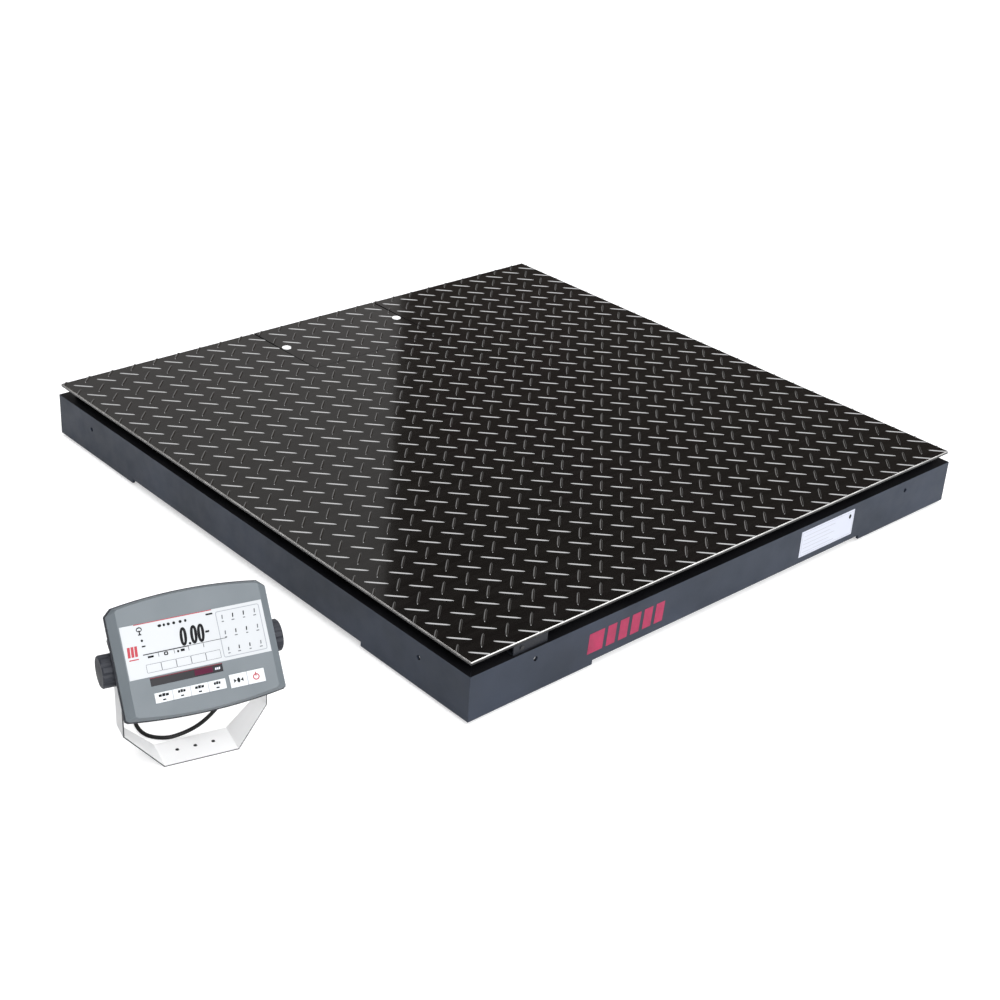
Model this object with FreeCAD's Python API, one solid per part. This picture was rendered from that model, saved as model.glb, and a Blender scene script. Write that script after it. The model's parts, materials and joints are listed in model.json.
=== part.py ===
"""Floor pallet scale: a low tread-plate platform on four load cells, and its indicator on a stand.

Millimetres, +Z up, floor at z = 0. +X runs along the front skirt and +Y to the rear. The origin is
on the floor, at the centre of the whole object's box measured without the loose cable.
"""
import FreeCAD, Part
import math
import os

V = FreeCAD.Vector

# ---- platform: driving dimensions -------------------------------------------------------------
SIDE = 1220.0                 # skirt, outside to outside
PLATFORM_X = 245.3            # platform's centre
FOOT_GAP = 6.0                # skirt's lower edge above the floor
SKIRT_HEIGHT = 82.0
RECESS_HEIGHT = 17.0          # shadow gap between the skirt and the deck
DECK_THICK = 6.0
DECK_INSET = 3.4              # deck edge behind the skirt's outer face
SHEET = 5.0                   # skirt channel's wall
TOP_FLANGE = 50.0
LOW_FLANGE = 30.0
NOTCH_RISE = 8.0              # skirt edge raised between the corners
NOTCH_HALF = 346.0
FRONT_HOLE_X = 475.0          # accessory holes in the front and rear skirts
FRONT_HOLE_Z = 68.0
SIDE_HOLE_Y = 490.0           # accessory holes in the left and right skirts
SIDE_HOLE_Z = 60.0
ACCESSORY_HOLE_R = 4.2
RISER_WIDTH = 28.0
RISER_SETBACK = 22.0
BEAM_WIDTH = 50.0
BEAM_BOTTOM = 35.0
BEAM_WALL = 4.0
BEAM_X = (-315.0, -190.0, 190.0, 315.0)

HALF = SIDE / 2
SKIRT_TOP = FOOT_GAP + SKIRT_HEIGHT
DECK_BOTTOM = SKIRT_TOP + RECESS_HEIGHT
DECK_TOP = DECK_BOTTOM + DECK_THICK
DECK_HALF = HALF - DECK_INSET
RISER_OUT = HALF - RISER_SETBACK
RISER_IN = RISER_OUT - RISER_WIDTH
CHANNEL_IN = HALF - TOP_FLANGE

# ---- access cover and junction box bay --------------------------------------------------------
COVER_HALF = 157.0
COVER_FRONT = 389.0
COVER_GAP = 2.0
SCREW_X = 145.0
SCREW_Y = 506.0
SCREW_HEAD_R = 9.5
SCREW_HEAD = 3.0
LEDGE_OUT = 165.0
LEDGE_IN = 137.0
LEDGE_THICK = 6.0
LEDGE_FRONT = 370.0
BOX_HALF = 75.0
BOX_Y = (450.0, 540.0)
BOX_Z = (33.0, 70.0)
CABLE_Z = 50.0                # glands' axis height
GLAND_R = 7.0
LEAD_R = 2.5                  # load-cell lead
BOX_GLAND_LENGTH = 16.0
SOCKET_R = 10.0               # output socket in the rear skirt
SOCKET_X = 50.0
SOCKET_BACK = 578.0
GLAND_SPOTS = (               # x, y, and the way out of the box
    (-50.0, BOX_Y[0], (0, -1, 0)),
    (50.0, BOX_Y[0], (0, -1, 0)),
    (BOX_HALF, 500.0, (1, 0, 0)),
    (-BOX_HALF, 500.0, (-1, 0, 0)),
    (SOCKET_X, BOX_Y[1], (0, 1, 0)),
)

# ---- nameplate and seal plate on the front ---------------------------------------------------------
PLATE_X = (169.0, 320.0)
PLATE_Z = (26.0, 78.0)
PLATE_THICK = 0.6
SEAL_X = (-520.0, -448.0)        # seal plate in the shadow gap
SEAL_FORWARD = 18.0
SEAL_THICK = 3.0

# ---- load cells and feet ----------------------------------------------------------------------
CORNERS = ((-1, -1), (1, -1), (1, 1), (-1, 1))
CELL_LENGTH = 130.0
CELL_SIZE = 32.0
CELL_BOTTOM = 40.0
CELL_Y = 530.0                # cell's centre line, and the foot's
FOOT_X = 530.0
CELL_END = 545.0
CELL_TOP = CELL_BOTTOM + CELL_SIZE
BOLT_X = (430.0, 456.0)
BOLT_R = 6.0
STEM_R = 6.0
THREAD_GAP = 0.3
PAD_R = 28.0
NUT_BOTTOM = 34.0

# ---- indicator stand --------------------------------------------------------------------------
STAND_AT = (-969.0, -436.0)   # front edge's centre, from the platform's centre
STAND_YAW = -15.0
STAND_HALF = 56.0             # flat foot of the stand
STAND_DEPTH = 56.0
STAND_SPAN = 108.0            # outer face of an arm
STAND_RISE = 52.0             # top of the sloping stretch
STAND_SWEEP = 22.0            # arm's front edge behind the foot's
STAND_SHEET = 2.0
PIVOT = (39.0, 158.0)         # pivot's y and z in the stand's frame
ARM_R = 17.0
STAND_HOLE_PITCH = 27.3
STAND_HOLE_Y = 31.0
STAND_HOLE_R = 3.0

# ---- indicator head, in its own frame: x right, y to the rear, z up the face, origin on the pivot
HEAD_TILT = 36.0              # leaned back
FACE_Y = -46.0
FACE_HALF = 116.0
FACE_Z = (-78.0, 82.0)
FACE_ARCH = 7.0               # rise of the arched top and bottom edges
FACET = (12.0, 3.0, 9.0)      # the front's slant: in from the sides, in from top and bottom, depth
LOWER_CLIP = 4.0              # corner clips: both lower ones, the upper ones in front and behind
FRONT_CLIP = 3.0
REAR_CLIP = 11.0
BEZEL_THICK = 14.0
GASKET_THICK = 1.5
RIM_THICK = 4.0
RIM_PROUD = 1.6
HOUSING_HALF = 104.0
HOUSING_WALL = 3.0
CASING_SCREW_X = 108.9        # outside the casing's body
HOUSING_OUTLINE = (
    (-28.0, -70.0), (2.0, -70.0), (34.0, -36.0), (34.0, 14.0), (48.0, 42.0), (-6.0, 74.0), (-28.0, 74.0),
)
OVERLAY = (-102.5, 103.5, -22.0, 53.0)
OVERLAY_DEPTH = 0.8
LCD_WINDOW = (-82.0, 33.0, -20.0, 50.0)
LIGHT_SLOT = (-75.0, 29.0, -35.5, -23.8)
KEY_STRIPS = ((-73.5, 29.0, -60.0, -45.4, 4), (34.6, 86.4, -62.0, -42.6, 2))
KEY_GAP = 0.4
KEY_PROUD = 0.5
KEY_PLATE = 2.6
KNOB_R = 24.0
KNOB_DEPTH = 24.0
KNOB_FLUTES = 10
STUD_R = 4.0

# ---- indicator cable --------------------------------------------------------------------------
CORD_R = 3.0
GLAND_AT = (38.0, 18.0, -53.0)          # on the housing's lower slope, head frame
GLAND_LENGTH = 22.0
CORD_ROUTE = ((32, 40, 48), (21, 48, 31), (7, 57, 16), (-12, 64, 6), (-36, 68, 3),
              (-58, 86, 3), (-65, 118, 3), (-54, 152, 3), (-54, 190, 3))
CORD_FIRST_RUN = 20.0
COIL_CENTRE = (-9.0, 190.0)
COIL_INSIDE_R = 18.0
COIL_OUTSIDE_R = 48.0
COIL_HEIGHT = 24.0
TAIL_ROUTE = ((-9, 235, 21), (22, 235, 20), (48, 229, 9), (72, 222, 9))
PLUG_R = 9.0
PLUG_LENGTH = 42.0

nodes = {}


# ---- small helpers ----------------------------------------------------------------------------
def block(x0, x1, y0, y1, z0, z1):
    """A box between two corners."""
    return Part.makeBox(x1 - x0, y1 - y0, z1 - z0, V(x0, y0, z0))


def rod(radius, start, direction, length):
    return Part.makeCylinder(radius, length, V(*start), V(*direction))


def prism(points, sweep):
    """A polygon of 3-D points swept along a vector."""
    ring = [V(*point) for point in points]
    return Part.Face(Part.makePolygon(ring + ring[:1])).extrude(V(*sweep))


def joined(shapes):
    return shapes[0].multiFuse(shapes[1:]).removeSplitter()


def without(shape, tools):
    return shape.cut(Part.makeCompound(tools)).removeSplitter()


def hex_prism(across_flats, start, direction, length):
    """A hexagonal bar on any axis."""
    radius = across_flats / math.sqrt(3)
    angles = [k * math.pi / 3 for k in range(6)]
    corners = [(radius * math.cos(angle), radius * math.sin(angle), 0) for angle in angles]
    bar = prism(corners, (0, 0, length))
    bar.Placement = FreeCAD.Placement(V(*start), FreeCAD.Rotation(V(0, 0, 1), V(*direction)))
    return bar


def turned(shape, angle):
    """A copy turned about the platform's upright centre line."""
    copy = shape.copy()
    copy.rotate(V(0, 0, 0), V(0, 0, 1), angle)
    return copy


def mirrored(shape, sx, sy):
    """A copy in another corner of the platform."""
    copy = shape.copy()
    if sx < 0:
        copy = copy.mirror(V(0, 0, 0), V(1, 0, 0))
    if sy < 0:
        copy = copy.mirror(V(0, 0, 0), V(0, 1, 0))
    return copy


def node(name, shapes, place):
    """Keep one sub-part: its solids, moved into the row frame."""
    solids = []
    for shape in shapes:
        for solid in shape.Solids:
            copy = solid.copy()
            copy.transformShape(place.toMatrix(), False, False)
            solids.append(copy)
    nodes[name] = solids


PLATFORM = FreeCAD.Placement(V(PLATFORM_X, 0, 0), FreeCAD.Rotation())
STAND = FreeCAD.Placement(
    V(PLATFORM_X + STAND_AT[0], STAND_AT[1], 0), FreeCAD.Rotation(V(0, 0, 1), STAND_YAW)
)
HEAD = STAND.multiply(
    FreeCAD.Placement(V(0, PIVOT[0], PIVOT[1]), FreeCAD.Rotation(V(1, 0, 0), -HEAD_TILT))
)


# ---- platform ---------------------------------------------------------------------------------
def side_channel(holes_x, holes_z):
    """The front skirt: a channel open to the inside, mitred at both ends."""
    low_flange_z = FOOT_GAP + NOTCH_RISE
    channel = joined([
        block(-HALF, HALF, -HALF, -HALF + SHEET, FOOT_GAP, SKIRT_TOP),
        block(-HALF, HALF, -HALF, -HALF + TOP_FLANGE, SKIRT_TOP - SHEET, SKIRT_TOP),
        block(-HALF, HALF, -HALF, -HALF + LOW_FLANGE, low_flange_z, low_flange_z + SHEET),
    ])
    inner = HALF - TOP_FLANGE - 10
    keep = prism(
        [(-HALF, -HALF, 0), (HALF, -HALF, 0), (inner, -inner, 0), (-inner, -inner, 0)],
        (0, 0, DECK_TOP),
    )
    notch = block(-NOTCH_HALF, NOTCH_HALF, -HALF - 1, -HALF + SHEET + 1, 0, low_flange_z)
    cuts = [notch]
    for x in (-holes_x, holes_x):
        cuts.append(rod(ACCESSORY_HOLE_R, (x, -HALF - 1, holes_z), (0, 1, 0), SHEET + 2))
    return without(channel.common(keep), cuts)


def make_skirt():
    front = side_channel(FRONT_HOLE_X, FRONT_HOLE_Z)
    side = side_channel(SIDE_HOLE_Y, SIDE_HOLE_Z)
    node("side_channel_front", [front], PLATFORM)
    node("side_channel_right", [turned(side, 90)], PLATFORM)
    socket_hole = rod(SOCKET_R + 0.5, (SOCKET_X, HALF + 1, CABLE_Z), (0, -1, 0), SHEET + 2)
    node("side_channel_rear", [without(turned(front, 180), [socket_hole])], PLATFORM)
    node("side_channel_left", [turned(side, -90)], PLATFORM)


def riser_bar(half_length, wall=3.0):
    """A rectangular tube that carries the deck's front edge."""
    y0, y1 = -RISER_OUT, -RISER_IN
    tube = block(-half_length, half_length, y0, y1, SKIRT_TOP, DECK_BOTTOM)
    hollow = block(
        -half_length - 1, half_length + 1, y0 + wall, y1 - wall, SKIRT_TOP + wall, DECK_BOTTOM - wall
    )
    return without(tube, [hollow])


def make_risers():
    long_bar = riser_bar(RISER_OUT)
    short_bar = riser_bar(RISER_IN)
    bars = [long_bar, turned(long_bar, 180), turned(short_bar, 90), turned(short_bar, -90)]
    node("riser_bars", bars, PLATFORM)


def deck_beam(x, y0, y1):
    """A pressed channel under the deck, open at the bottom."""
    half = BEAM_WIDTH / 2
    outer = block(x - half, x + half, y0, y1, BEAM_BOTTOM, DECK_BOTTOM)
    inner = block(
        x - half + BEAM_WALL, x + half - BEAM_WALL, y0 - 1, y1 + 1, BEAM_BOTTOM - 1, DECK_BOTTOM - BEAM_WALL
    )
    return without(outer, [inner])


def make_beams():
    node("deck_beams", [deck_beam(x, -CHANNEL_IN, CHANNEL_IN) for x in BEAM_X], PLATFORM)
    node("centre_beam", [deck_beam(0, -CHANNEL_IN, LEDGE_FRONT)], PLATFORM)


def make_deck():
    half = COVER_HALF + COVER_GAP
    notch = block(-half, half, COVER_FRONT - COVER_GAP, HALF, DECK_BOTTOM - 1, DECK_TOP + 1)
    deck = block(-DECK_HALF, DECK_HALF, -DECK_HALF, DECK_HALF, DECK_BOTTOM, DECK_TOP)
    node("deck_plate", [without(deck, [notch])], PLATFORM)


def make_cover():
    """The lift-off panel over the junction box, its two screws, and the ledge that it lies on."""
    cover = block(-COVER_HALF, COVER_HALF, COVER_FRONT, DECK_HALF, DECK_BOTTOM, DECK_TOP)
    ledge_bottom = DECK_BOTTOM - LEDGE_THICK
    head_bottom = DECK_TOP - SCREW_HEAD
    shank_bottom = ledge_bottom - 4
    holes = []
    screws = []
    for x in (-SCREW_X, SCREW_X):
        holes.append(rod(STUD_R + THREAD_GAP, (x, SCREW_Y, ledge_bottom - 1), (0, 0, 1), DECK_THICK * 3))
        holes.append(rod(SCREW_HEAD_R + THREAD_GAP, (x, SCREW_Y, head_bottom), (0, 0, 1), SCREW_HEAD + 1))
        head = rod(SCREW_HEAD_R, (x, SCREW_Y, head_bottom), (0, 0, 1), SCREW_HEAD)
        shank = rod(STUD_R, (x, SCREW_Y, shank_bottom), (0, 0, 1), head_bottom - shank_bottom)
        screws.append(joined([head, shank]))
    node("access_cover", [without(cover, holes)], PLATFORM)
    node("cover_screws", screws, PLATFORM)
    ledge = block(-LEDGE_OUT, LEDGE_OUT, LEDGE_FRONT, CHANNEL_IN, ledge_bottom, DECK_BOTTOM)
    open_front = COVER_FRONT + LEDGE_OUT - LEDGE_IN - 8
    opening = block(-LEDGE_IN, LEDGE_IN, open_front, CHANNEL_IN + 1, ledge_bottom - 1, DECK_BOTTOM + 1)
    node("cover_ledge", [without(ledge, [opening] + holes)], PLATFORM)


# ---- load cells and feet ----------------------------------------------------------------------
def corner_block():
    """The thick block under the deck that a load cell is bolted to."""
    inside = 18.0
    body = block(
        BOLT_X[0] - inside, BOLT_X[1] + inside, CELL_Y - 25, CELL_Y + 25, CELL_TOP, DECK_BOTTOM
    )
    holes = [rod(BOLT_R + THREAD_GAP, (x, CELL_Y, CELL_TOP - 1), (0, 0, 1), 28) for x in BOLT_X]
    return without(body, holes)


def load_cell():
    """A shear-beam cell: two bolt holes, a gauge pocket on each side, and a thread for the foot."""
    half = CELL_SIZE / 2
    bar = block(CELL_END - CELL_LENGTH, CELL_END, CELL_Y - half, CELL_Y + half, CELL_BOTTOM, CELL_TOP)
    pocket_depth = 12.0
    pocket_x = 493.0
    middle = CELL_BOTTOM + half
    cuts = [
        rod(11, (pocket_x, CELL_Y - half, middle), (0, 1, 0), pocket_depth),
        rod(11, (pocket_x, CELL_Y + half, middle), (0, -1, 0), pocket_depth),
        rod(STEM_R + THREAD_GAP, (FOOT_X, CELL_Y, CELL_BOTTOM - 1), (0, 0, 1), CELL_SIZE + 2),
    ]
    for x in BOLT_X:
        cuts.append(rod(BOLT_R + THREAD_GAP, (x, CELL_Y, CELL_BOTTOM - 1), (0, 0, 1), CELL_SIZE + 2))
    return without(bar, cuts)


def cell_bolts():
    head = 7.5
    bolts = []
    for x in BOLT_X:
        cap = hex_prism(18, (x, CELL_Y, CELL_BOTTOM - head), (0, 0, 1), head)
        shank = rod(BOLT_R, (x, CELL_Y, CELL_BOTTOM - head / 2), (0, 0, 1), head / 2 + CELL_SIZE + 24)
        bolts.append(joined([cap, shank]))
    return bolts


def lock_nut():
    nut = hex_prism(18, (FOOT_X, CELL_Y, NUT_BOTTOM), (0, 0, 1), CELL_BOTTOM - NUT_BOTTOM)
    return without(nut, [rod(STEM_R + THREAD_GAP, (FOOT_X, CELL_Y, NUT_BOTTOM - 1), (0, 0, 1), 10)])


def foot_stem():
    """A threaded stem with a hexagon for a spanner."""
    stem = rod(STEM_R, (FOOT_X, CELL_Y, 10), (0, 0, 1), 88)
    collar = hex_prism(19, (FOOT_X, CELL_Y, 21), (0, 0, 1), 7)
    return joined([stem, collar])


def foot_pad():
    """The round foot that the stem turns in."""
    base = rod(PAD_R, (FOOT_X, CELL_Y, 0), (0, 0, 1), 6)
    cone = Part.makeCone(PAD_R - 4, 13, 8, V(FOOT_X, CELL_Y, 6), V(0, 0, 1))
    hub = rod(13, (FOOT_X, CELL_Y, 14), (0, 0, 1), 6)
    bore = rod(STEM_R + THREAD_GAP, (FOOT_X, CELL_Y, 10), (0, 0, 1), 20)
    return without(joined([base, cone, hub]), [bore])


def make_corners():
    pieces = {"load_cell": load_cell(), "foot_stem": foot_stem(), "foot_pad": foot_pad()}
    for number, (sx, sy) in enumerate(CORNERS, 1):
        for name, shape in pieces.items():
            node(f"{name}_{number}", [mirrored(shape, sx, sy)], PLATFORM)
    node("corner_blocks", [mirrored(corner_block(), *corner) for corner in CORNERS], PLATFORM)
    node("lock_nuts", [mirrored(lock_nut(), *corner) for corner in CORNERS], PLATFORM)
    bolts = [mirrored(bolt, *corner) for corner in CORNERS for bolt in cell_bolts()]
    node("cell_bolts", bolts, PLATFORM)


# ---- junction box -----------------------------------------------------------------------------
def make_tray():
    """The strip that hangs the junction box between the cover's ledge and the rear channel."""
    z0 = BOX_Z[0] - 3
    half = 20.0
    front_y = LEDGE_FRONT + 30
    tray = joined([
        block(-BOX_HALF, BOX_HALF, BOX_Y[0], BOX_Y[1], z0, BOX_Z[0]),
        block(-half, half, front_y, CHANNEL_IN, z0, BOX_Z[0]),
        block(-half, half, front_y, front_y + 3, z0, DECK_BOTTOM - LEDGE_THICK),
        block(-half, half, CHANNEL_IN - 3, CHANNEL_IN, z0, DECK_BOTTOM - LEDGE_THICK),
    ])
    node("junction_tray", [tray], PLATFORM)


def make_junction_box():
    wall = 3.0
    lid_z = BOX_Z[1] + 4
    body = block(-BOX_HALF, BOX_HALF, BOX_Y[0], BOX_Y[1], BOX_Z[0], BOX_Z[1])
    hollow = block(
        wall - BOX_HALF, BOX_HALF - wall, BOX_Y[0] + wall, BOX_Y[1] - wall, BOX_Z[0] + wall, BOX_Z[1] + 1
    )
    gland_holes = []
    glands = []
    for x, y, way in GLAND_SPOTS:
        base = V(x, y, CABLE_Z)
        inside = base - V(*way) * (wall + 4)
        gland_holes.append(rod(GLAND_R - 1, inside, way, wall + 5))
        nut = hex_prism(2 * GLAND_R, base, way, 7)
        dome = Part.makeCone(GLAND_R - 1, LEAD_R + 1, BOX_GLAND_LENGTH - 7, base + V(*way) * 7, V(*way))
        bore = rod(LEAD_R, base, way, BOX_GLAND_LENGTH)
        glands.append(without(joined([nut, dome]), [bore]))
    node("junction_box", [without(body, [hollow] + gland_holes)], PLATFORM)
    node("junction_lid", [block(-BOX_HALF, BOX_HALF, BOX_Y[0], BOX_Y[1], BOX_Z[1], lid_z)], PLATFORM)
    node("cable_glands", glands, PLATFORM)
    inside = BOX_HALF - 12
    board = block(-inside, inside, BOX_Y[0] + 12, BOX_Y[1] - 12, 40, 41.6)
    strips = [block(x - 12, x + 12, 480, 492, 41.6, 53) for x in (-40, 0, 40)]
    node("junction_board", [joined([board] + strips)], PLATFORM)


def cord_tube(route, radius, label):
    """A round tube along straight runs joined by the largest tangent arcs the runs allow."""
    points = [V(*point) for point in route]
    edges = []
    at = points[0]
    length = 0.0
    radii = []
    for before, corner, after in zip(points, points[1:], points[2:]):
        inward = (before - corner).normalize()
        outward = (after - corner).normalize()
        half_turn = (math.pi - inward.getAngle(outward)) / 2
        shorter = min((before - corner).Length, (after - corner).Length)
        trim = 0.45 * shorter
        bend = trim / math.tan(half_turn)
        radii.append(bend)
        start = corner + inward * trim
        end = corner + outward * trim
        to_centre = (inward + outward).normalize()
        middle = corner + to_centre * (bend / math.cos(half_turn) - bend)
        edges.append(Part.LineSegment(at, start).toShape())
        edges.append(Part.Arc(start, middle, end).toShape())
        length += (start - at).Length + 2 * half_turn * bend
        at = end
    edges.append(Part.LineSegment(at, points[-1]).toShape())
    length += (points[-1] - at).Length
    profile = Part.Wire(Part.makeCircle(radius, points[0], points[1] - points[0]))
    tube = Part.Wire(edges).makePipeShell([profile], True, False)
    ratio = tube.Volume / (math.pi * radius ** 2 * length)
    shown = ", ".join(f"{bend:.0f}" for bend in radii)
    print(f"{label}: length {length:.1f} mm, volume ratio {ratio:.4f}, radii {shown}")
    return tube


def make_inner_cables():
    """The four cell leads and the output lead, all held inside the platform."""
    cell_face = CELL_END - CELL_LENGTH
    mid = CELL_BOTTOM + CELL_SIZE / 2
    low = 22.0
    rear_gland = BOX_HALF + BOX_GLAND_LENGTH
    front_gland = BOX_Y[0] - BOX_GLAND_LENGTH
    rear_route = (
        (cell_face, CELL_Y, mid), (cell_face - 30, CELL_Y, mid), (cell_face - 68, 526, low),
        (cell_face - 130, 515, low), (170, 500, low), (128, 500, CABLE_Z), (rear_gland, 500, CABLE_Z),
    )
    front_route = (
        (cell_face, -CELL_Y, mid), (cell_face - 30, -CELL_Y, mid), (cell_face - 68, -526, low),
        (cell_face - 130, -515, low), (150, -480, low), (110, -420, low), (95, 320, low),
        (50, 390, CABLE_Z), (50, front_gland, CABLE_Z),
    )
    leads = []
    for route, label in ((rear_route, "rear cell lead"), (front_route, "front cell lead")):
        tube = cord_tube(route, LEAD_R, label)
        leads += [tube, mirrored(tube, -1, 1)]
    start = V(SOCKET_X, BOX_Y[1] + BOX_GLAND_LENGTH, CABLE_Z)
    leads.append(rod(LEAD_R, start, (0, 1, 0), SOCKET_BACK - start.y))
    node("inner_cables", leads, PLATFORM)


def make_socket():
    """The output socket, flush in the rear skirt."""
    body = rod(SOCKET_R, (SOCKET_X, HALF, CABLE_Z), (0, -1, 0), 24)
    bore = rod(SOCKET_R - 2, (SOCKET_X, HALF, CABLE_Z), (0, -1, 0), 12)
    nut = hex_prism(24, (SOCKET_X, HALF - SHEET, CABLE_Z), (0, -1, 0), 5)
    tail = rod(5, (SOCKET_X, HALF - 24, CABLE_Z), (0, -1, 0), HALF - 24 - SOCKET_BACK)
    shell = without(joined([body, nut, tail]), [bore])
    pins = rod(4.5, (SOCKET_X, HALF - 14, CABLE_Z), (0, 1, 0), 9)
    node("output_socket", [joined([shell, pins])], PLATFORM)


# ---- label and seal plate on the front ------------------------------------------------------------
def make_nameplate():
    plate = block(PLATE_X[0], PLATE_X[1], -HALF - PLATE_THICK, -HALF, PLATE_Z[0], PLATE_Z[1])
    node("nameplate", [plate], PLATFORM)


def make_seal_plate():
    """A plate across the shadow gap near the front left corner, held by one sealing screw."""
    x0, x1 = SEAL_X
    face_y = -RISER_OUT - SEAL_FORWARD
    plate = joined([
        block(x0, x1, face_y, face_y + SEAL_THICK, SKIRT_TOP, DECK_BOTTOM),
        block(x0, x1, face_y, -RISER_OUT, SKIRT_TOP, SKIRT_TOP + SEAL_THICK),
    ])
    screw_x = x0 + 17
    middle_z = (SKIRT_TOP + DECK_BOTTOM) / 2 + 1
    hole = rod(2.2, (screw_x, face_y - 1, middle_z), (0, 1, 0), SEAL_THICK + 2)
    node("seal_plate", [without(plate, [hole])], PLATFORM)
    cap = rod(3.6, (screw_x, face_y - 1.6, middle_z), (0, 1, 0), 1.6)
    shank = rod(1.9, (screw_x, face_y - 1, middle_z), (0, 1, 0), 14)
    node("seal_screw", [joined([cap, shank])], PLATFORM)


# ---- indicator stand --------------------------------------------------------------------------
def make_stand():
    """One bent sheet: a flat foot, two sloping stretches and two upright arms."""
    outer = [
        (-STAND_HALF, 0), (STAND_HALF, 0), (STAND_SPAN, STAND_RISE), (STAND_SPAN, PIVOT[1]),
    ]
    slope = math.atan2(STAND_RISE, STAND_SPAN - STAND_HALF)
    foot_in = STAND_HALF - STAND_SHEET * math.tan(slope / 2)
    rise_in = STAND_RISE + STAND_SHEET * math.tan((math.pi / 2 - slope) / 2)
    span_in = STAND_SPAN - STAND_SHEET
    inner = [(span_in, PIVOT[1]), (span_in, rise_in), (foot_in, STAND_SHEET), (-foot_in, STAND_SHEET)]
    inner += [(-span_in, rise_in), (-span_in, PIVOT[1])]
    outer_left = [(-STAND_SPAN, PIVOT[1]), (-STAND_SPAN, STAND_RISE)]
    section = [(x, 0, z) for x, z in outer + inner + outer_left]
    sheet = prism(section, (0, STAND_DEPTH, 0))
    cuts = []
    for side in (-1, 1):
        wide = STAND_SPAN + 5
        corner = [
            (side * STAND_HALF, -1, -1), (side * wide, -1, -1), (side * wide, STAND_SWEEP, -1),
            (side * STAND_SPAN, STAND_SWEEP, -1), (side * STAND_HALF, 0, -1),
        ]
        cuts.append(prism(corner, (0, 0, PIVOT[1] + 2)))
    sheet = without(sheet, cuts)
    tips = [rod(ARM_R, (x, PIVOT[0], PIVOT[1]), (1, 0, 0), STAND_SHEET) for x in (-STAND_SPAN, span_in)]
    holes = [rod(STUD_R + 0.6, (-STAND_SPAN - 1, PIVOT[0], PIVOT[1]), (1, 0, 0), 2 * STAND_SPAN + 2)]
    for x in (-STAND_HOLE_PITCH, 0, STAND_HOLE_PITCH):
        holes.append(rod(STAND_HOLE_R, (x, STAND_HOLE_Y, -1), (0, 0, 1), STAND_SHEET + 2))
    node("stand_bracket", [without(joined([sheet] + tips), holes)], STAND)


# ---- indicator head ---------------------------------------------------------------------------
def face_wire(inset_x, inset_z, y, clip):
    """The face's outline at one depth, with arched top and bottom edges and clipped corners."""
    half = FACE_HALF - inset_x
    bottom, top = FACE_Z[0] + inset_z, FACE_Z[1] - inset_z
    shoulder = half - clip
    left = [V(-half + LOWER_CLIP, y, bottom + 1), V(-half, y, bottom + LOWER_CLIP), V(-half, y, top - clip)]
    left.append(V(-shoulder, y, top - 1))
    right = [V(-point.x, y, point.z) for point in reversed(left)]
    corners = left + right
    crowns = {3: V(0, y, top + FACE_ARCH), 7: V(0, y, bottom - FACE_ARCH)}
    edges = []
    for k, start in enumerate(corners):
        end = corners[(k + 1) % len(corners)]
        curve = Part.Arc(start, crowns[k], end) if k in crowns else Part.LineSegment(start, end)
        edges.append(curve.toShape())
    return Part.Wire(edges)


def face_slab(inset, y, thick):
    return Part.Face(face_wire(inset, inset, y, REAR_CLIP)).extrude(V(0, thick, 0))


def key_spots():
    """Each key's left, right, bottom and top on the face, in order."""
    spots = []
    for x0, x1, z0, z1, count in KEY_STRIPS:
        width = (x1 - x0) / count
        spots += [(x0 + k * width, x0 + (k + 1) * width, z0, z1) for k in range(count)]
    return spots


def make_bezel():
    """The front casing, hollow behind, with pockets for the overlay, the light window and the keys."""
    inset_x, inset_z, depth = FACET
    outlines = [face_wire(inset_x, inset_z, FACE_Y, FRONT_CLIP), face_wire(0, 0, FACE_Y + depth, REAR_CLIP)]
    front = Part.makeLoft(outlines, True, True)
    shell = joined([front, face_slab(0, FACE_Y + depth, BEZEL_THICK - depth)])
    wall = 4.0
    x0, x1, z0, z1 = OVERLAY
    cuts = [
        face_slab(inset_x, FACE_Y + wall, BEZEL_THICK),
        block(x0, x1, FACE_Y - 1, FACE_Y + OVERLAY_DEPTH, z0, z1),
    ]
    windows = [LCD_WINDOW, LIGHT_SLOT] + [strip[:4] for strip in KEY_STRIPS]
    for x0, x1, z0, z1 in windows:
        cuts.append(block(x0, x1, FACE_Y - 1, FACE_Y + wall + 1, z0, z1))
    node("front_bezel", [without(shell, cuts)], HEAD)


def make_face_parts():
    x0, x1, z0, z1 = OVERLAY
    node("display_overlay", [block(x0, x1, FACE_Y, FACE_Y + OVERLAY_DEPTH, z0, z1)], HEAD)
    x0, x1, z0, z1 = LIGHT_SLOT
    node("light_window", [block(x0, x1, FACE_Y + 0.4, FACE_Y + 4, z0, z1)], HEAD)
    x0, x1, z0, z1 = LCD_WINDOW
    node("lcd_module", [block(x0 + 1, x1 - 1, FACE_Y + 1.2, FACE_Y + 10, z0 + 1, z1 - 1)], HEAD)
    for number, (x0, x1, z0, z1) in enumerate(key_spots(), 1):
        half = KEY_GAP / 2
        front = FACE_Y - KEY_PROUD
        key = block(x0 + half, x1 - half, front, front + KEY_PLATE, z0 + half, z1 - half)
        node(f"key_{number}", [key], HEAD)


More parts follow.
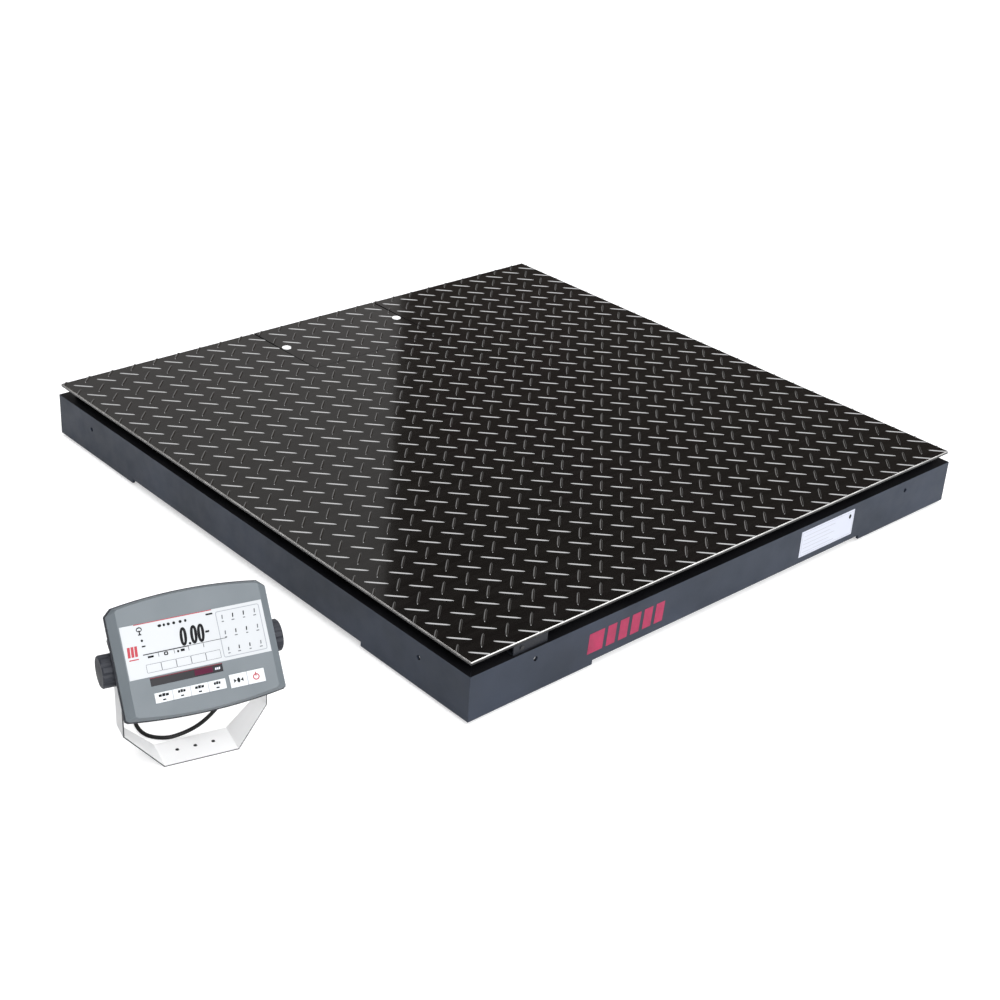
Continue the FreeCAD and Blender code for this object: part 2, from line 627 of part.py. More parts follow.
def make_housing():
    """The gasket, the hollow rear casing with its rim, and its screws."""
    gasket_y = FACE_Y + BEZEL_THICK
    gasket = face_slab(1, gasket_y, GASKET_THICK)
    node("housing_gasket", [without(gasket, [face_slab(9, gasket_y - 1, GASKET_THICK + 2)])], HEAD)
    rim_y = gasket_y + GASKET_THICK
    rim = face_slab(-RIM_PROUD, rim_y, RIM_THICK)
    outline = [(-HOUSING_HALF, y, z) for y, z in HOUSING_OUTLINE]
    body = prism(outline, (2 * HOUSING_HALF, 0, 0))
    wall = HOUSING_WALL
    middle_y, middle_z = 3.0, 2.0
    inner = []
    for y, z in HOUSING_OUTLINE:
        inner_y = rim_y - 1 if y < rim_y + RIM_THICK else y - wall * 1.2
        inner.append((wall - HOUSING_HALF, inner_y, z - math.copysign(wall * 1.2, z - middle_z)))
    hollow = prism(inner, (2 * (HOUSING_HALF - wall), 0, 0))
    boss = rod(11, (-HOUSING_HALF, 0, 0), (1, 0, 0), 16)
    other_boss = rod(11, (HOUSING_HALF, 0, 0), (-1, 0, 0), 16)
    stud_holes = [
        rod(STUD_R + 0.3, (side * (HOUSING_HALF + 1), 0, 0), (-side, 0, 0), 15) for side in (-1, 1)
    ]
    shell = without(joined([rim, body]), [hollow])
    shell = without(joined([shell, boss, other_boss]), stud_holes)
    away = gland_way()
    gland_hole = rod(6, V(*GLAND_AT) - away * 8, away, 12)
    node("rear_housing", [without(shell, [gland_hole])], HEAD)
    screws = []
    for x in (-CASING_SCREW_X, CASING_SCREW_X):
        for z in (-60.0, 2.0, 62.0):
            screws.append(rod(3.4, (x, rim_y + RIM_THICK, z), (0, 1, 0), 2.2))
    node("housing_screws", screws, HEAD)
    board_y = FACE_Y + 16
    node("main_board", [block(-90, 90, board_y, board_y + 1.6, -60, 60)], HEAD)
    power = joined([block(-80, 0, 20, 21.6, -30, 40), block(-60, -20, 0, 20, -10, 25)])
    node("power_board", [power], HEAD)


def gland_way():
    """The direction out of the housing's lower slope."""
    (y0, z0), (y1, z1) = HOUSING_OUTLINE[1], HOUSING_OUTLINE[2]
    return V(0, z1 - z0, y0 - y1).normalize()


def make_gland():
    way = gland_way()
    base = V(*GLAND_AT)
    nut = hex_prism(20, base, way, 7)
    dome = Part.makeCone(8.5, CORD_R + 1.5, GLAND_LENGTH - 7, base + way * 7, way)
    node("cord_gland", [joined([nut, dome])], HEAD)


def make_knobs():
    """Fluted clamp knobs with their studs, and the washers between the arms and the housing."""
    washers = []
    washer = STAND_SPAN - STAND_SHEET - HOUSING_HALF - 0.2
    for side, name in ((-1, "knob_left"), (1, "knob_right")):
        face = side * (STAND_SPAN + 0.3)
        body = rod(KNOB_R, (face, 0, 0), (side, 0, 0), KNOB_DEPTH)
        flutes = []
        for k in range(KNOB_FLUTES):
            angle = 2 * math.pi * (k + 0.5) / KNOB_FLUTES
            reach = KNOB_R + 3.5
            spot = (face + side * 5, reach * math.cos(angle), reach * math.sin(angle))
            flutes.append(rod(5.5, spot, (side, 0, 0), KNOB_DEPTH))
        outer_x = face + side * KNOB_DEPTH
        outer_rim = [edge for edge in body.Edges if abs(edge.CenterOfMass.x - outer_x) < 0.01]
        body = body.makeChamfer(2.0, outer_rim)
        stud_end = HOUSING_HALF - 12
        stud = rod(STUD_R, (side * stud_end, 0, 0), (side, 0, 0), STAND_SPAN + 5 - stud_end)
        node(name, [joined([without(body, flutes), stud])], HEAD)
        ring = rod(12, (side * HOUSING_HALF, 0, 0), (side, 0, 0), washer)
        bore = rod(STUD_R + 0.3, (side * (HOUSING_HALF - 1), 0, 0), (side, 0, 0), 6)
        washers.append(without(ring, [bore]))
    node("pivot_washers", washers, HEAD)


# ---- indicator cable --------------------------------------------------------------------------
def cord_start():
    """The gland's tip and the cable's next point, in the stand's frame."""
    to_stand = STAND.inverse().multiply(HEAD)
    tip = to_stand.multVec(V(*GLAND_AT) + gland_way() * GLAND_LENGTH)
    way = to_stand.Rotation.multVec(gland_way())
    return tip, tip + way * CORD_FIRST_RUN


def make_cord():
    """The free cable: down from the gland, round behind the stand, into a coil and to its plug."""
    tip, second = cord_start()
    lead = cord_tube([tip, second] + list(CORD_ROUTE), CORD_R, "indicator cable")
    tail = cord_tube(TAIL_ROUTE, CORD_R, "cable tail")
    node("indicator_cord", [lead, tail], STAND)
    ring = rod(COIL_OUTSIDE_R, (*COIL_CENTRE, 0), (0, 0, 1), COIL_HEIGHT)
    eye = rod(COIL_INSIDE_R, (*COIL_CENTRE, -1), (0, 0, 1), COIL_HEIGHT + 2)
    node("indicator_cord_coil", [without(ring, [eye])], STAND)
    end, before = V(*TAIL_ROUTE[-1]), V(*TAIL_ROUTE[-2])
    way = (end - before).normalize()
    sleeve = Part.makeCone(4.5, 6.5, 16, end, way)
    barrel = rod(PLUG_R, end + way * 16, way, PLUG_LENGTH - 16)
    node("cord_connector", [joined([sleeve, barrel])], STAND)


def main():
    make_skirt()
    make_risers()
    make_beams()
    make_deck()
    make_cover()
    make_corners()
    make_tray()
    make_junction_box()
    make_inner_cables()
    make_socket()
    make_nameplate()
    make_seal_plate()
    make_stand()
    make_bezel()
    make_face_parts()
    make_housing()
    make_gland()
    make_knobs()
    make_cord()
    os.makedirs("parts", exist_ok=True)
    for name, solids in nodes.items():
        shape = solids[0] if len(solids) == 1 else Part.makeCompound(solids)
        if not shape.isValid():
            print("not valid:", name)
        shape.exportStep(f"parts/{name}.step")
    print(len(nodes), "nodes")


main()
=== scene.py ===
"""A pallet scale: a tread-plate platform in a steel skirt, and a tilting indicator on its stand."""
import json
import math
import bpy
import bmesh
from mathutils import Matrix, Vector

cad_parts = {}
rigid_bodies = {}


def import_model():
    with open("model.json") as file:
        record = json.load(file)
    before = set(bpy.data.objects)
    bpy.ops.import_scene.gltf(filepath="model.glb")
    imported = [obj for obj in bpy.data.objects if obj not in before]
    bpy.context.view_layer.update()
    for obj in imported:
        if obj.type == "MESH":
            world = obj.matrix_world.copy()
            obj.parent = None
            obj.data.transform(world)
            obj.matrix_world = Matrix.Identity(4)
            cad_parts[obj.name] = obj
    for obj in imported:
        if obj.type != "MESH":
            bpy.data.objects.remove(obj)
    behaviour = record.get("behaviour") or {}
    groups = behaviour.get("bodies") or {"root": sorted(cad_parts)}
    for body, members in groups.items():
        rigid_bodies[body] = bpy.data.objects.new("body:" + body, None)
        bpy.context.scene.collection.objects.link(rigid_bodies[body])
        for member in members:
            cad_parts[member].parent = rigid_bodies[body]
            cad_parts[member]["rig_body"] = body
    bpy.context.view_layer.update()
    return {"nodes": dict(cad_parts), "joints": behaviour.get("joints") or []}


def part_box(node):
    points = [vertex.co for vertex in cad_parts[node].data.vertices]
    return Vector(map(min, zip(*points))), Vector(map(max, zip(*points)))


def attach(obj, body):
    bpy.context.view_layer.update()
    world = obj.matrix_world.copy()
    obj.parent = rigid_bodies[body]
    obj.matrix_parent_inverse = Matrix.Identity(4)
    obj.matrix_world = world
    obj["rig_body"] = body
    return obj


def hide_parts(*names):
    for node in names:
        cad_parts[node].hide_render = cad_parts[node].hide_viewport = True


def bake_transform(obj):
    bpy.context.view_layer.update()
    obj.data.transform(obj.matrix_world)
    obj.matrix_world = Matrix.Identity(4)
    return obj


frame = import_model()
MM = 0.001
UP = Vector((0, 0, 1))
scene = bpy.context.scene
scene.view_settings.view_transform = "Standard"

# ---- frames: the platform's centre, the stand and the head -------------------------------------
deck_low, deck_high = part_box("deck_plate")
CENTRE = Vector(((deck_low.x + deck_high.x) / 2, 0, 0))
DECK_TOP = deck_high.z
DECK_HALF = (deck_high.x - deck_low.x) / 2
joints = {j["name"]: j for j in frame["joints"]}
PIVOT_Y, PIVOT_Z = 39 * MM, 158 * MM     # the head's pivot from the stand's front edge and foot


def axes(origin, x, y, z):
    matrix = Matrix((x, y, z)).transposed().to_4x4()
    matrix.translation = origin
    return matrix


right = Vector(joints["head_tilt"]["axis"]).normalized()
level = UP.cross(right)
pivot = Vector(joints["head_tilt"]["pos_m"])
rear = Vector(joints["key_1_press"]["axis"]).normalized()
STAND = axes(pivot - level * PIVOT_Y - UP * PIVOT_Z, right, level, UP)
HEAD = axes(pivot, right, rear, right.cross(rear))
PLATFORM = Matrix.Translation(CENTRE)


CAMERA_AT = Vector((-1.8115, -2.1677, 1.5257))
CAMERA_TURN, CAMERA_DOWN, CAMERA_ROLL = 43.61, 28.1, 3.74     # degrees
LENS, SENSOR = 61.70, 36.0


def aim_camera():
    """The viewing angle: from the front left, 28 degrees down, with a slight roll."""
    data = bpy.data.cameras.new("camera")
    data.lens = LENS
    data.sensor_width = SENSOR
    camera = bpy.data.objects.new("camera", data)
    scene.collection.objects.link(camera)
    turn, down, roll = (math.radians(a) for a in (CAMERA_TURN, CAMERA_DOWN, CAMERA_ROLL))
    ahead = Vector((math.sin(turn) * math.cos(down), math.cos(turn) * math.cos(down), -math.sin(down)))
    across = ahead.cross(UP).normalized()
    above = across.cross(ahead)
    side = across * math.cos(roll) + above * math.sin(roll)
    camera.matrix_world = axes(CAMERA_AT, side, side.cross(ahead), -ahead)
    scene.camera = camera


aim_camera()


# ---- materials ---------------------------------------------------------------------------------
class Finish:
    """A node material with helpers for noise, ramps and bump in object space."""

    def __init__(self, name, rough=0.5, metallic=0.0, **sockets):
        self.material = bpy.data.materials.new(name)
        self.material.use_nodes = True
        self.tree = self.material.node_tree
        self.shader = self.tree.nodes["Principled BSDF"]
        self.shader.inputs["Roughness"].default_value = rough
        self.shader.inputs["Metallic"].default_value = metallic
        for socket, value in sockets.items():
            self.shader.inputs[socket.replace("_", " ")].default_value = value
        self.where = self.add("ShaderNodeTexCoord").outputs["Object"]

    def add(self, kind, **settings):
        made = self.tree.nodes.new(kind)
        for key, value in settings.items():
            setattr(made, key, value)
        return made

    def link(self, a, b):
        self.tree.links.new(a, b)

    def stretched(self, scale):
        mapping = self.add("ShaderNodeMapping")
        mapping.inputs["Scale"].default_value = scale
        self.link(self.where, mapping.inputs["Vector"])
        return mapping.outputs["Vector"]

    def noise(self, scale, detail=3.0, where=None, distortion=0.0):
        made = self.add("ShaderNodeTexNoise")
        made.inputs["Scale"].default_value = scale
        made.inputs["Detail"].default_value = detail
        made.inputs["Distortion"].default_value = distortion
        self.link(where or self.where, made.inputs["Vector"])
        return made.outputs["Fac"]

    def ramp(self, fac, stops):
        made = self.add("ShaderNodeValToRGB")
        made.color_ramp.elements[0].position = stops[0][0]
        made.color_ramp.elements[0].color = (*stops[0][1], 1)
        made.color_ramp.elements[1].position = stops[-1][0]
        made.color_ramp.elements[1].color = (*stops[-1][1], 1)
        for place, colour in stops[1:-1]:
            made.color_ramp.elements.new(place).color = (*colour, 1)
        self.link(fac, made.inputs["Fac"])
        return made.outputs["Color"]

    def spread(self, fac, low, high, start=0.3, end=0.7):
        made = self.add("ShaderNodeMapRange")
        for key, value in (("From Min", start), ("From Max", end), ("To Min", low), ("To Max", high)):
            made.inputs[key].default_value = value
        self.link(fac, made.inputs["Value"])
        return made.outputs["Result"]

    def colour(self, source):
        self.link(source, self.shader.inputs["Base Color"])
        return self

    def rough(self, source):
        self.link(source, self.shader.inputs["Roughness"])
        return self

    def bump(self, height, strength, distance):
        made = self.add("ShaderNodeBump")
        made.inputs["Strength"].default_value = strength
        made.inputs["Distance"].default_value = distance
        self.link(height, made.inputs["Height"])
        self.link(made.outputs["Normal"], self.shader.inputs["Normal"])
        return self


def mottled(name, low, high, rough, blotch=25, grain=900, bump=0.15, depth=0.0002, **more):
    """Paint or moulding: slow colour drift, uneven gloss and a fine grain."""
    made = Finish(name, **more)
    drift = made.noise(blotch, 5)
    made.colour(made.ramp(drift, ((0.3, low), (0.7, high))))
    made.rough(made.spread(made.noise(blotch * 3, 4), *rough))
    return made.bump(made.noise(grain, 2), bump, depth).material


def brushed(name, low, high, rough, direction=(1, 1, 30), scale=60, bump=0.1):
    """Metal with fine parallel marks."""
    made = Finish(name, metallic=1.0)
    marks = made.noise(scale, 6, made.stretched(direction))
    made.colour(made.ramp(marks, ((0.3, low), (0.7, high))))
    made.rough(made.spread(marks, *rough))
    return made.bump(marks, bump, 0.0001).material


def deck_paint(name, ior=1.5):
    """Gloss black paint over rolled plate: orange peel, dust and thin scuffs."""
    made = Finish(name, Coat_Weight=0.25, Coat_Roughness=0.04, IOR=ior)
    scuffs = made.noise(9, 8, made.stretched((1.0, 9.0, 1.0)), 0.6)
    made.colour(made.ramp(scuffs, ((0.35, (0.0035, 0.0032, 0.003)), (0.8, (0.008, 0.0075, 0.007)))))
    made.rough(made.spread(made.noise(14, 6), 0.07, 0.12))
    return made.bump(made.noise(260, 2), 0.025, 0.0004).material


def powder_coat(name, low, high, shine=0.3):
    """Satin powder coat with a fine pebble and a few paler rubs."""
    made = Finish(name, Specular_IOR_Level=shine)
    drift = made.noise(7, 8, distortion=0.4)
    made.colour(made.ramp(drift, ((0.3, low), (0.6, high), (0.82, tuple(c * 1.25 for c in high)))))
    made.rough(made.spread(made.noise(30, 5), 0.34, 0.5))
    return made.bump(made.noise(1400, 2), 0.12, 0.0002).material


def tinted(name, colour, rough, **more):
    """A smooth piece whose colour drifts by a few percent."""
    return mottled(name, tuple(c * 0.985 for c in colour), colour, rough, 9, 1500, 0.05, 0.0001, **more)


SLATE = powder_coat("slate_powder_coat", (0.019, 0.025, 0.037), (0.028, 0.036, 0.054))
SEAL_DARK = powder_coat("seal_plate_coat", (0.010, 0.011, 0.014), (0.016, 0.018, 0.023))
# The frame's own black, also used as painted shade on the skirt channels' ledge under the deck's edge.
FRAME_BLACK_AND_LEDGE_SHADE = powder_coat("frame_black_and_ledge_shade", (0.003, 0.003, 0.004), (0.007, 0.007, 0.008), 0.12)
DECK = deck_paint("deck_gloss_black")
LUG = deck_paint("lug_polished_black", 3.0)
ZINC = brushed("zinc_plate", (0.55, 0.56, 0.58), (0.80, 0.80, 0.80), (0.22, 0.4))
WORN_EDGE = brushed("worn_edge", (0.55, 0.54, 0.52), (0.80, 0.79, 0.77), (0.25, 0.4), (1, 1, 1), 35, 0.05)
STEEL = brushed("machined_steel", (0.42, 0.43, 0.45), (0.62, 0.63, 0.65), (0.2, 0.38))
WHITE_SHEET = powder_coat("white_sheet", (0.80, 0.80, 0.80), (0.86, 0.86, 0.86))
# Dark grey for the white sheet's front cut edges: a painted shade line along the edge.
SHEET_EDGE_SHADE = mottled("sheet_edge_shade", (0.05, 0.05, 0.053), (0.08, 0.08, 0.084), (0.4, 0.6), 60)
BEZEL = mottled("bezel_plastic", (0.120, 0.139, 0.152), (0.133, 0.153, 0.167), (0.42, 0.55), 12, 1600)
HOUSING = mottled("housing_plastic", (0.024, 0.026, 0.033), (0.034, 0.037, 0.046), (0.45, 0.6), 16, 1200, 0.3,
                  Specular_IOR_Level=0.3)
BLACK_PLASTIC = mottled("black_plastic", (0.010, 0.010, 0.011), (0.020, 0.020, 0.021), (0.35, 0.5))
# The cable's black sheath; also painted shade in the stand's holes, on the sheet under its foot.
RUBBER_AND_HOLE_SHADE = mottled("black_sheath_and_hole_shade", (0.004, 0.004, 0.004), (0.009, 0.009, 0.009), (0.38, 0.55), 80, 1500,
                 Specular_IOR_Level=0.25)
FILM = tinted("printed_film", (0.455, 0.47, 0.485), (0.3, 0.36), Coat_Weight=0.2)
KEY_FILM = tinted("key_film", (0.58, 0.60, 0.62), (0.28, 0.38))
INK = tinted("black_ink", (0.005, 0.005, 0.006), (0.5, 0.6), Specular_IOR_Level=0.15)
GREY_INK = tinted("grey_ink", (0.08, 0.085, 0.095), (0.4, 0.5))
PALE_INK = tinted("pale_ink", (0.24, 0.255, 0.28), (0.4, 0.5))
RED_INK = tinted("red_ink", (0.36, 0.008, 0.024), (0.35, 0.45))
DARK_RED_INK = tinted("dark_red_ink", (0.14, 0.005, 0.018), (0.4, 0.5), Specular_IOR_Level=0.2)
RED_VINYL = mottled("red_vinyl", (0.27, 0.010, 0.055), (0.38, 0.014, 0.075), (0.3, 0.42), 60)
DARK_WINDOW = tinted("smoked_window", (0.010, 0.009, 0.012), (0.2, 0.26), Specular_IOR_Level=0.2)
RED_WINDOW = tinted("red_window", (0.070, 0.004, 0.024), (0.2, 0.26), Specular_IOR_Level=0.1)
LABEL_RULE = tinted("label_rule", (0.40, 0.41, 0.44), (0.4, 0.5))
LABEL = tinted("label_film", (0.56, 0.58, 0.66), (0.35, 0.45))
CAST = mottled("coated_iron", (0.012, 0.012, 0.012), (0.03, 0.03, 0.03), (0.6, 0.8), 50, 300, 0.5, 0.0006)
BOX_GREY = mottled("box_plastic", (0.33, 0.34, 0.35), (0.40, 0.41, 0.42), (0.45, 0.6), 30, 700)


def board_material():
    """Green board with darker tracks and tinned pads."""
    made = Finish("circuit_board", 0.35)
    tracks = made.add("ShaderNodeTexBrick")
    tracks.inputs["Scale"].default_value = 160
    for key, value in (("Color1", (0.010, 0.10, 0.035, 1)), ("Color2", (0.014, 0.13, 0.05, 1)),
                       ("Mortar", (0.03, 0.22, 0.09, 1))):
        tracks.inputs[key].default_value = value
    made.link(made.where, tracks.inputs["Vector"])
    made.colour(tracks.outputs["Color"])
    made.rough(made.spread(made.noise(200), 0.25, 0.5))
    return made.bump(tracks.outputs["Fac"], 0.2, 0.0002).material


BOARD = board_material()

# ---- mesh helpers ------------------------------------------------------------------------------


def shown(name, mesh, material, body=None, matrix=None, replaces=()):
    """Adds a mesh as a piece: its place, material, body and the nodes it stands for."""
    if matrix is not None:
        mesh.transform(matrix)
    piece = bpy.data.objects.new(name, mesh)
    scene.collection.objects.link(piece)
    mesh.materials.append(material)
    if body:
        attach(piece, body)
    if replaces:
        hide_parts(*replaces)
    return piece


def smooth_faces(mesh, angle=35):
    mesh.polygons.foreach_set("use_smooth", [True] * len(mesh.polygons))
    mesh.set_sharp_from_angle(angle=math.radians(angle))


def from_bmesh(name, bm, angle=35):
    bmesh.ops.recalc_face_normals(bm, faces=bm.faces)
    mesh = bpy.data.meshes.new(name)
    bm.to_mesh(mesh)
    bm.free()
    smooth_faces(mesh, angle)
    return mesh


def even_shading(piece):
    """Flat faces keep their own direction, and only the rounded edges turn."""
    weigh = piece.modifiers.new("even", "WEIGHTED_NORMAL")
    weigh.keep_sharp = True
    return piece


def clean_copy(node):
    """The node's surface as flat faces, with the triangulation's extra vertices and edges gone."""
    bm = bmesh.new()
    bm.from_mesh(frame["nodes"][node].data)
    bmesh.ops.remove_doubles(bm, verts=bm.verts, dist=2e-6)
    bmesh.ops.dissolve_limit(bm, angle_limit=math.radians(0.5), verts=bm.verts, edges=bm.edges)
    return bm


def eased(node, width, material, segments=2, angle=25):
    """The node again with its edges rounded, shown in its place."""
    bm = clean_copy(node)
    sharp = [e for e in bm.edges if len(e.link_faces) == 2 and e.calc_face_angle() > math.radians(angle)]
    bmesh.ops.bevel(bm, geom=sharp, offset=width, segments=segments, profile=0.5, affect="EDGES",
                    clamp_overlap=True)
    body = frame["nodes"][node]["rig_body"]
    piece = shown(f"{node}_eased", from_bmesh(node, bm), material, body, replaces=(node,))
    return even_shading(piece)


def repaint(piece, material, way, least):
    """A second material on the faces that look along a direction."""
    piece.data.materials.append(material)
    for face in piece.data.polygons:
        if face.normal.dot(way) > least:
            face.material_index = 1


def slab(bm, x0, x1, z0, z1, y, thick, slant=0.0):
    """A thin plate standing in the xz plane, its front at y - thick, slanted by slant along z."""
    rise = z1 - z0
    outline_plate(bm, [(x0, z0), (x1, z0), (x1 + slant * rise, z1), (x0 + slant * rise, z1)], y, thick)


def outline_plate(bm, flat, y, thick):
    """A closed plate from an outline in the xz plane."""
    front = [bm.verts.new((x * MM, (y - thick) * MM, z * MM)) for x, z in flat]
    back = [bm.verts.new((x * MM, y * MM, z * MM)) for x, z in flat]
    bm.faces.new(front)
    bm.faces.new(list(reversed(back)))
    for k in range(len(flat)):
        n = (k + 1) % len(flat)
        bm.faces.new((front[n], front[k], back[k], back[n]))


def ring_plate(bm, outer, inner, y, thick):
    """A closed frame between two outlines with the same number of points."""
    rows = []
    for flat, depth in ((outer, y - thick), (inner, y - thick), (inner, y), (outer, y)):
        rows.append([bm.verts.new((x * MM, depth * MM, z * MM)) for x, z in flat])
    count = len(outer)
    for k in range(4):
        a, b = rows[k], rows[(k + 1) % 4]
        for i in range(count):
            n = (i + 1) % count
            bm.faces.new((a[i], a[n], b[n], b[i]))


def oval(cx, cz, rx, rz, count=28, power=2.0, lean=0.0):
    """An ellipse's outline; a higher power squares it, and lean slants it along z."""
    flat = []
    for k in range(count):
        angle = 2 * math.pi * k / count
        c, s = math.cos(angle), math.sin(angle)
        x = math.copysign(abs(c) ** (2 / power), c) * rx
        z = math.copysign(abs(s) ** (2 / power), s) * rz
        flat.append((cx + x + lean * z, cz + z))
    return flat


def corner_arcs(x0, x1, z0, z1, corner):
    """Centres and directions, five to a corner, of a rounded rectangle's corner points."""
    for cx, cz, start in ((x1 - corner, z1 - corner, 0), (x0 + corner, z1 - corner, 90),
                          (x0 + corner, z0 + corner, 180), (x1 - corner, z0 + corner, 270)):
        for k in range(5):
            a = math.radians(start + 22.5 * k)
            yield cx, cz, math.cos(a), math.sin(a)


def frame_lines(bm, x0, x1, z0, z1, y, thick, line, corner=1.2):
    """A thin rounded rectangle drawn as a line."""
    outer, inner = (
        [(cx + r * c, cz + r * s) for cx, cz, c, s in corner_arcs(x0, x1, z0, z1, corner)]
        for r in (corner, corner - line)
    )
    ring_plate(bm, outer, inner, y, thick)


def flat_box(bm, corners, bottom, top):
    """A closed level plate over an outline in the xy plane, given in metres."""
    lower = [bm.verts.new((x, y, bottom)) for x, y in corners]
    upper = [bm.verts.new((x, y, top)) for x, y in corners]
    bm.faces.new(list(reversed(lower)))
    bm.faces.new(upper)
    for k in range(len(corners)):
        n = (k + 1) % len(corners)
        bm.faces.new((lower[k], lower[n], upper[n], upper[k]))


# ---- the cable ---------------------------------------------------------------------------------
CORD_R = 3.0                             # millimetres, in the stand's frame, as are the routes
GLAND_TIP = ((38, 28.51, 82.93), (38, 32.24, 63.28))
CORD_ROUTE = ((32, 40, 48), (21, 47, 31), (8, 55, 16), (-10, 61, 5.5), (-35, 61, 3.2),
              (-62, 80, 3), (-67, 117, 3), (-54, 152, 3))
COIL_X, COIL_Y = -9.0, 190.0
TAIL_ROUTE = ((22, 235, 20), (48, 229, 9), (72, 222, 9))
COIL_RADIUS = 45.0                       # of the outermost turn's centre line
TURN_POINTS = 12
COLUMNS, LAYERS = 5, 4


def coil_points():
    """Twenty and a quarter turns, five side by side in four layers, clockwise from above."""
    pitch = 2 * CORD_R
    swell = 1 / math.cos(math.pi / TURN_POINTS) * 0.995      # the line cuts inside its points
    total = COLUMNS * LAYERS
    points = []
    count = int((total + 0.25) * TURN_POINTS)
    for k in range(count + 1):
        turn = k / TURN_POINTS
        layer = min(int(turn / COLUMNS), LAYERS - 1)
        step = min(turn - layer * COLUMNS, COLUMNS - 1)
        within = int(step)
        shift = within + max(0.0, (step - within - 0.75) * 4)
        across = shift if layer % 2 == 0 else COLUMNS - 1 - shift
        climb = max(0.0, (turn - layer * COLUMNS - COLUMNS + 0.25) * 4) if layer < LAYERS - 1 else 0.0
        radius = (COIL_RADIUS - pitch * across) * swell
        angle = math.pi - 2 * math.pi * turn
        height = CORD_R + pitch * (layer + min(climb, 1.0))
        points.append((COIL_X + radius * math.cos(angle), COIL_Y + radius * math.sin(angle), height))
    return points


def nurbs_line(name, points, resolution):
    """The points of the smooth line that a route steers, read from its spline."""
    curve = bpy.data.curves.new(name, "CURVE")
    curve.dimensions = "3D"
    curve.resolution_u = resolution
    spline = curve.splines.new("NURBS")
    spline.points.add(len(points) - 1)
    for control, place in zip(spline.points, points):
        control.co = (*place, 1)
    spline.order_u = 3
    spline.use_endpoint_u = True
    holder = bpy.data.objects.new(name, curve)
    scene.collection.objects.link(holder)
    mesh = bpy.data.meshes.new_from_object(holder)
    line = [v.co.copy() for v in mesh.vertices]
    bpy.data.objects.remove(holder)
    return line


def ring(bm, centre, side, other, radius, sides):
    """New vertices round a centre."""
    turns = (2 * math.pi * i / sides for i in range(sides))
    return [bm.verts.new(centre + (side * math.cos(a) + other * math.sin(a)) * radius) for a in turns]


def skin(bm, rings):
    """Faces from each ring to the next and over both ends."""
    for a, b in zip(rings, rings[1:]):
        for i in range(len(a)):
            n = (i + 1) % len(a)
            bm.faces.new((a[i], a[n], b[n], b[i]))
    bm.faces.new(list(reversed(rings[0])))
    bm.faces.new(rings[-1])


def tube(name, line, radius, sides=12):
    """A round tube along a line, carried without twist."""
    bm = bmesh.new()
    rings = []
    ahead = (line[1] - line[0]).normalized()
    side = ahead.orthogonal().normalized()
    for k, point in enumerate(line):
        before, after = line[max(k - 1, 0)], line[min(k + 1, len(line) - 1)]
        ahead = (after - before).normalized()
        side = (side - ahead * side.dot(ahead)).normalized()
        rings.append(ring(bm, point, side, ahead.cross(side), radius, sides))
    skin(bm, rings)
    return from_bmesh(name, bm)


def on_stand(point):
    """A place given in millimetres from the stand's front edge, in the world."""
    return STAND @ (Vector(point) * MM)


PLUG_SIDES = 40
PLUG_BARREL = ((16, 6.6), (17, 7.6), (23, 7.6), (23.8, 7.0), (25, 7.0))
PLUG_RING = ((26.2, 8.5), (37.4, 8.5))
PLUG_NOSE = ((38, 8.1), (38.2, 7.2), (42, 7.0), (42, 5.6), (36, 5.4))
KNURL_DEPTH = 0.5


def make_connector():
    """A round cable plug: ribbed sleeve, smooth barrel and a knurled coupling ring."""
    start = on_stand(TAIL_ROUTE[-1])
    ahead = (start - on_stand(TAIL_ROUTE[-2])).normalized()
    side = ahead.orthogonal().normalized()
    profile = [(0, 3.2), (0, 4.3)]                           # distance along and radius
    for k in range(5):
        along, radius = 1 + k * 3.0, 4.4 + k * 0.4
        profile += [(along, radius), (along + 1.9, radius + 0.2),
                    (along + 2.1, radius - 0.9), (along + 2.8, radius - 0.8)]
    profile += [*PLUG_BARREL, (25.6, 8.2), *PLUG_RING, *PLUG_NOSE]
    bm = bmesh.new()
    rings = []
    for along, radius in profile:
        centre = start + ahead * (along * MM)
        rings.append(ring(bm, centre, side, ahead.cross(side), radius * MM, PLUG_SIDES))
        if (along, radius) in PLUG_RING:
            for vertex in rings[-1][::2]:
                vertex.co += (centre - vertex.co).normalized() * KNURL_DEPTH * MM
    skin(bm, rings)
    return shown("cable_plug", from_bmesh("cable_plug", bm, 40), BLACK_PLASTIC, "platform",
                 replaces=("cord_connector",))


STRAP_HALF, STRAP_LOW, STRAP_HIGH, STRAP_CORNER = 14.8, 0.3, 24.4, 3.0     # round the coil's section
STRAP_MIDDLE = 33.0                      # the section's middle from the coil's
STRAP_THICK, STRAP_HALF_WIDTH = 0.9, 7.0
ON_FLOOR = 0.05


def strap_loop(grow):
    """The strap's outline round the coil's section, thinner where it lies on the floor."""
    flat = []
    for cx, cz, c, s in corner_arcs(-STRAP_HALF, STRAP_HALF, STRAP_LOW, STRAP_HIGH, STRAP_CORNER):
        r = STRAP_CORNER + grow * (1 if s >= -0.01 else 0.3)
        flat.append((cx + r * c, max(ON_FLOOR, cz + r * s)))
    return flat


